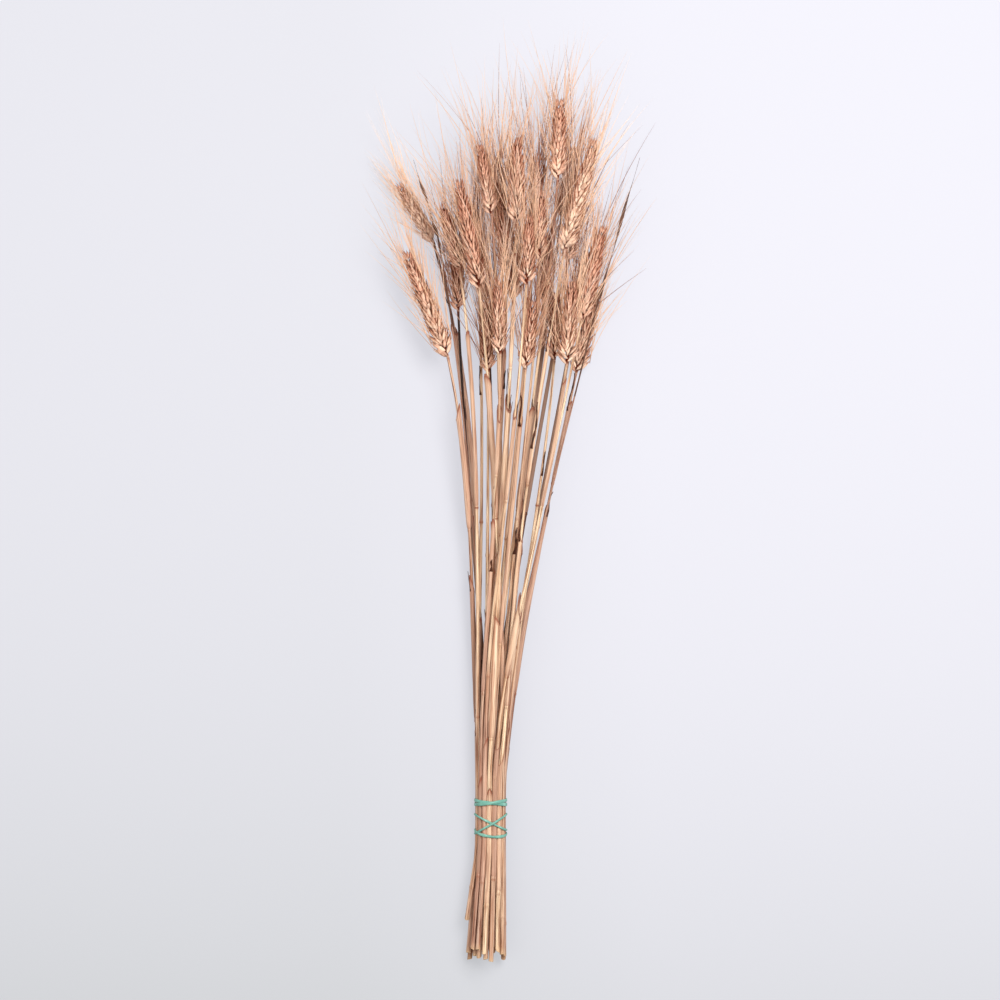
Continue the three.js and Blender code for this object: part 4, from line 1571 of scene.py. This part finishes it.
class WheatEar(bpy.types.PropertyGroup):
    """Sizes and colours of the ears."""

    husk_length: length_setting("Husk length", "Length of a husk from root to point", 0.0112)
    husk_width: length_setting("Husk width", "Width of a husk at its widest", 0.0027)
    husk_thickness: length_setting("Husk thickness", "Depth of a husk from inside to keel", 0.0023)
    unevenness: length_setting("Unevenness", "How far a husk may root off its place", 0.00035)
    spikelets_a_side: count_setting(
        "Spikelets a side", "Spikelets in each rank of a middling ear", 13, 4, 16
    )
    awns_a_spikelet: count_setting(
        "Awns a spikelet", "Husks of each spikelet of a sparse ear that bear an awn", 2, 0, 5
    )
    awn_shortest: length_setting("Shortest awn", "Length of the shortest awns", 0.03)
    awn_longest: length_setting("Longest awn", "Length of the longest awns", 0.1)
    awn_root: length_setting("Awn root", "Radius of an awn where it leaves its husk", 0.00029)
    awn_tip: length_setting("Awn tip", "Radius of an awn at its point", 0.00003)
    chaff_pale: colour_setting("Pale chaff", "Husk of an ear that stayed pale", "FFD8B8")
    chaff_ripe: colour_setting("Ripe chaff", "Husk of an ear that ripened red brown", "E2A78C")
    # This keel colour is partly the husk's paler edge and partly a painted highlight.
    keel: colour_setting("Keel", "Raised pale edge of a husk", "FFEAD8")
    awn: colour_setting("Awn", "Awn along most of its length", "FFD7B6")


class WheatBlade(bpy.types.PropertyGroup):
    """Sizes and colours of the dead leaves."""

    blade_width: length_setting("Blade width", "Width of the rolled leaf", 0.0026)
    dead: colour_setting("Dead leaf", "Main colour of the dead leaf", "57382B")


class WheatBand(bpy.types.PropertyGroup):
    """Sizes and colour of the rubber bands."""

    band_width: length_setting("Band width", "Width of the stretched band", 0.0023)
    band_thickness: length_setting("Band thickness", "Thickness of the stretched band", 0.0011)
    steps_a_turn: count_setting("Steps a turn", "Rings in each winding", 48, 12, 96)
    rubber: colour_setting("Rubber", "Main colour of the bands", "78B6A7")


class WheatStage(bpy.types.PropertyGroup):
    """Floor, light and camera."""

    floor: colour_setting("Floor", "Colour of the floor", "7E7E82")
    # The floor's glow colours are painted light that stands in for light on the floor; no light
    # shines through it.
    painted_glow_low: colour_setting("Glow by the cut ends", "Light through the floor there", "A4A9AC")
    painted_glow_high: colour_setting("Glow by the heads", "Light through the floor there", "C9CAD4")
    floor_size: length_setting("Floor size", "Side of the square floor", 14.0)
    sky: colour_setting("Sky", "Colour of the soft light from all round", "FFF0E2")
    sky_strength: strength_setting("Sky strength", "Strength of the light from all round", 0.4)
    key_power: strength_setting("Key light", "Power of the main light", 66.0, "POWER")
    fill_power: strength_setting("Fill light", "Power of the soft second light", 16.0, "POWER")
    camera_height: length_setting("Camera height", "Height of the camera above the floor", 4.0)
    focus_up: length_setting("Framing height", "Height at which the frame width holds", 0.04)
    frame_width: length_setting("Frame width", "Width of the picture", 0.8165)
    view_across: length_setting("View across", "Middle of the picture across", -0.00735, -1.0)
    view_along: length_setting("View along", "Middle of the picture along", -0.00696, -1.0)


class BuildStraws(bpy.types.Operator):
    """Build every straw with its joints, sheaths and hollow cut end"""

    bl_idname = "wheat.build_straws"
    bl_label = "Build straws"

    def execute(self, context):
        for stalk in STALKS:
            if stalk.ear:
                build_straw(stalk, context.scene.wheat_straw)
        return {"FINISHED"}


class BuildEars(bpy.types.Operator):
    """Build every bearded ear with its husks and awns"""

    bl_idname = "wheat.build_ears"
    bl_label = "Build ears"

    def execute(self, context):
        look = context.scene.wheat_ear
        husk = husk_template()
        awn = awn_template(look)
        for stalk in STALKS:
            if stalk.ear:
                build_ear(stalk, look, husk, awn)
        bpy.data.meshes.remove(husk)
        bpy.data.meshes.remove(awn)
        return {"FINISHED"}


class BuildDryBlades(bpy.types.Operator):
    """Build the two headless stalks that end in a dead leaf"""

    bl_idname = "wheat.build_dry_blades"
    bl_label = "Build dead leaves"

    def execute(self, context):
        for stalk in STALKS:
            if not stalk.ear:
                build_dry_blade(stalk, context.scene.wheat_blade)
        return {"FINISHED"}


class BuildBands(bpy.types.Operator):
    """Build the two rubber bands round the straws"""

    bl_idname = "wheat.build_bands"
    bl_label = "Build bands"

    def execute(self, context):
        for name, levels in BANDS:
            build_band(name, levels, context.scene.wheat_band)
        return {"FINISHED"}


class BuildStage(bpy.types.Operator):
    """Set up the floor, the light and the camera"""

    bl_idname = "wheat.build_stage"
    bl_label = "Set up stage"

    def execute(self, context):
        build_stage(context.scene.wheat_stage)
        return {"FINISHED"}


SETTINGS = (
    ("wheat_straw", WheatStraw),
    ("wheat_ear", WheatEar),
    ("wheat_blade", WheatBlade),
    ("wheat_band", WheatBand),
    ("wheat_stage", WheatStage),
)
OPERATORS = (BuildStraws, BuildEars, BuildDryBlades, BuildBands, BuildStage)


class WheatPanel(bpy.types.Panel):
    """Settings of the wheat bundle and the buttons that build it"""

    bl_idname = "VIEW3D_PT_wheat"
    bl_label = "Dried wheat bundle"
    bl_space_type = "VIEW_3D"
    bl_region_type = "UI"
    bl_category = "Wheat"

    def draw(self, context):
        for (key, group), operator in zip(SETTINGS, OPERATORS):
            box = self.layout.box()
            for name in group.__annotations__:
                box.prop(getattr(context.scene, key), name)
            box.operator(operator.bl_idname)


def register():
    for key, group in SETTINGS:
        bpy.utils.register_class(group)
        setattr(bpy.types.Scene, key, bpy.props.PointerProperty(type=group))
    for operator in OPERATORS:
        bpy.utils.register_class(operator)
    bpy.utils.register_class(WheatPanel)


def unregister():
    bpy.utils.unregister_class(WheatPanel)
    for operator in reversed(OPERATORS):
        bpy.utils.unregister_class(operator)
    for key, group in reversed(SETTINGS):
        delattr(bpy.types.Scene, key)
        bpy.utils.unregister_class(group)


def main():
    register()
    bpy.ops.wheat.build_straws()
    bpy.ops.wheat.build_ears()
    bpy.ops.wheat.build_dry_blades()
    bpy.ops.wheat.build_bands()
    bpy.ops.wheat.build_stage()


if __name__ == "__main__":
    main()
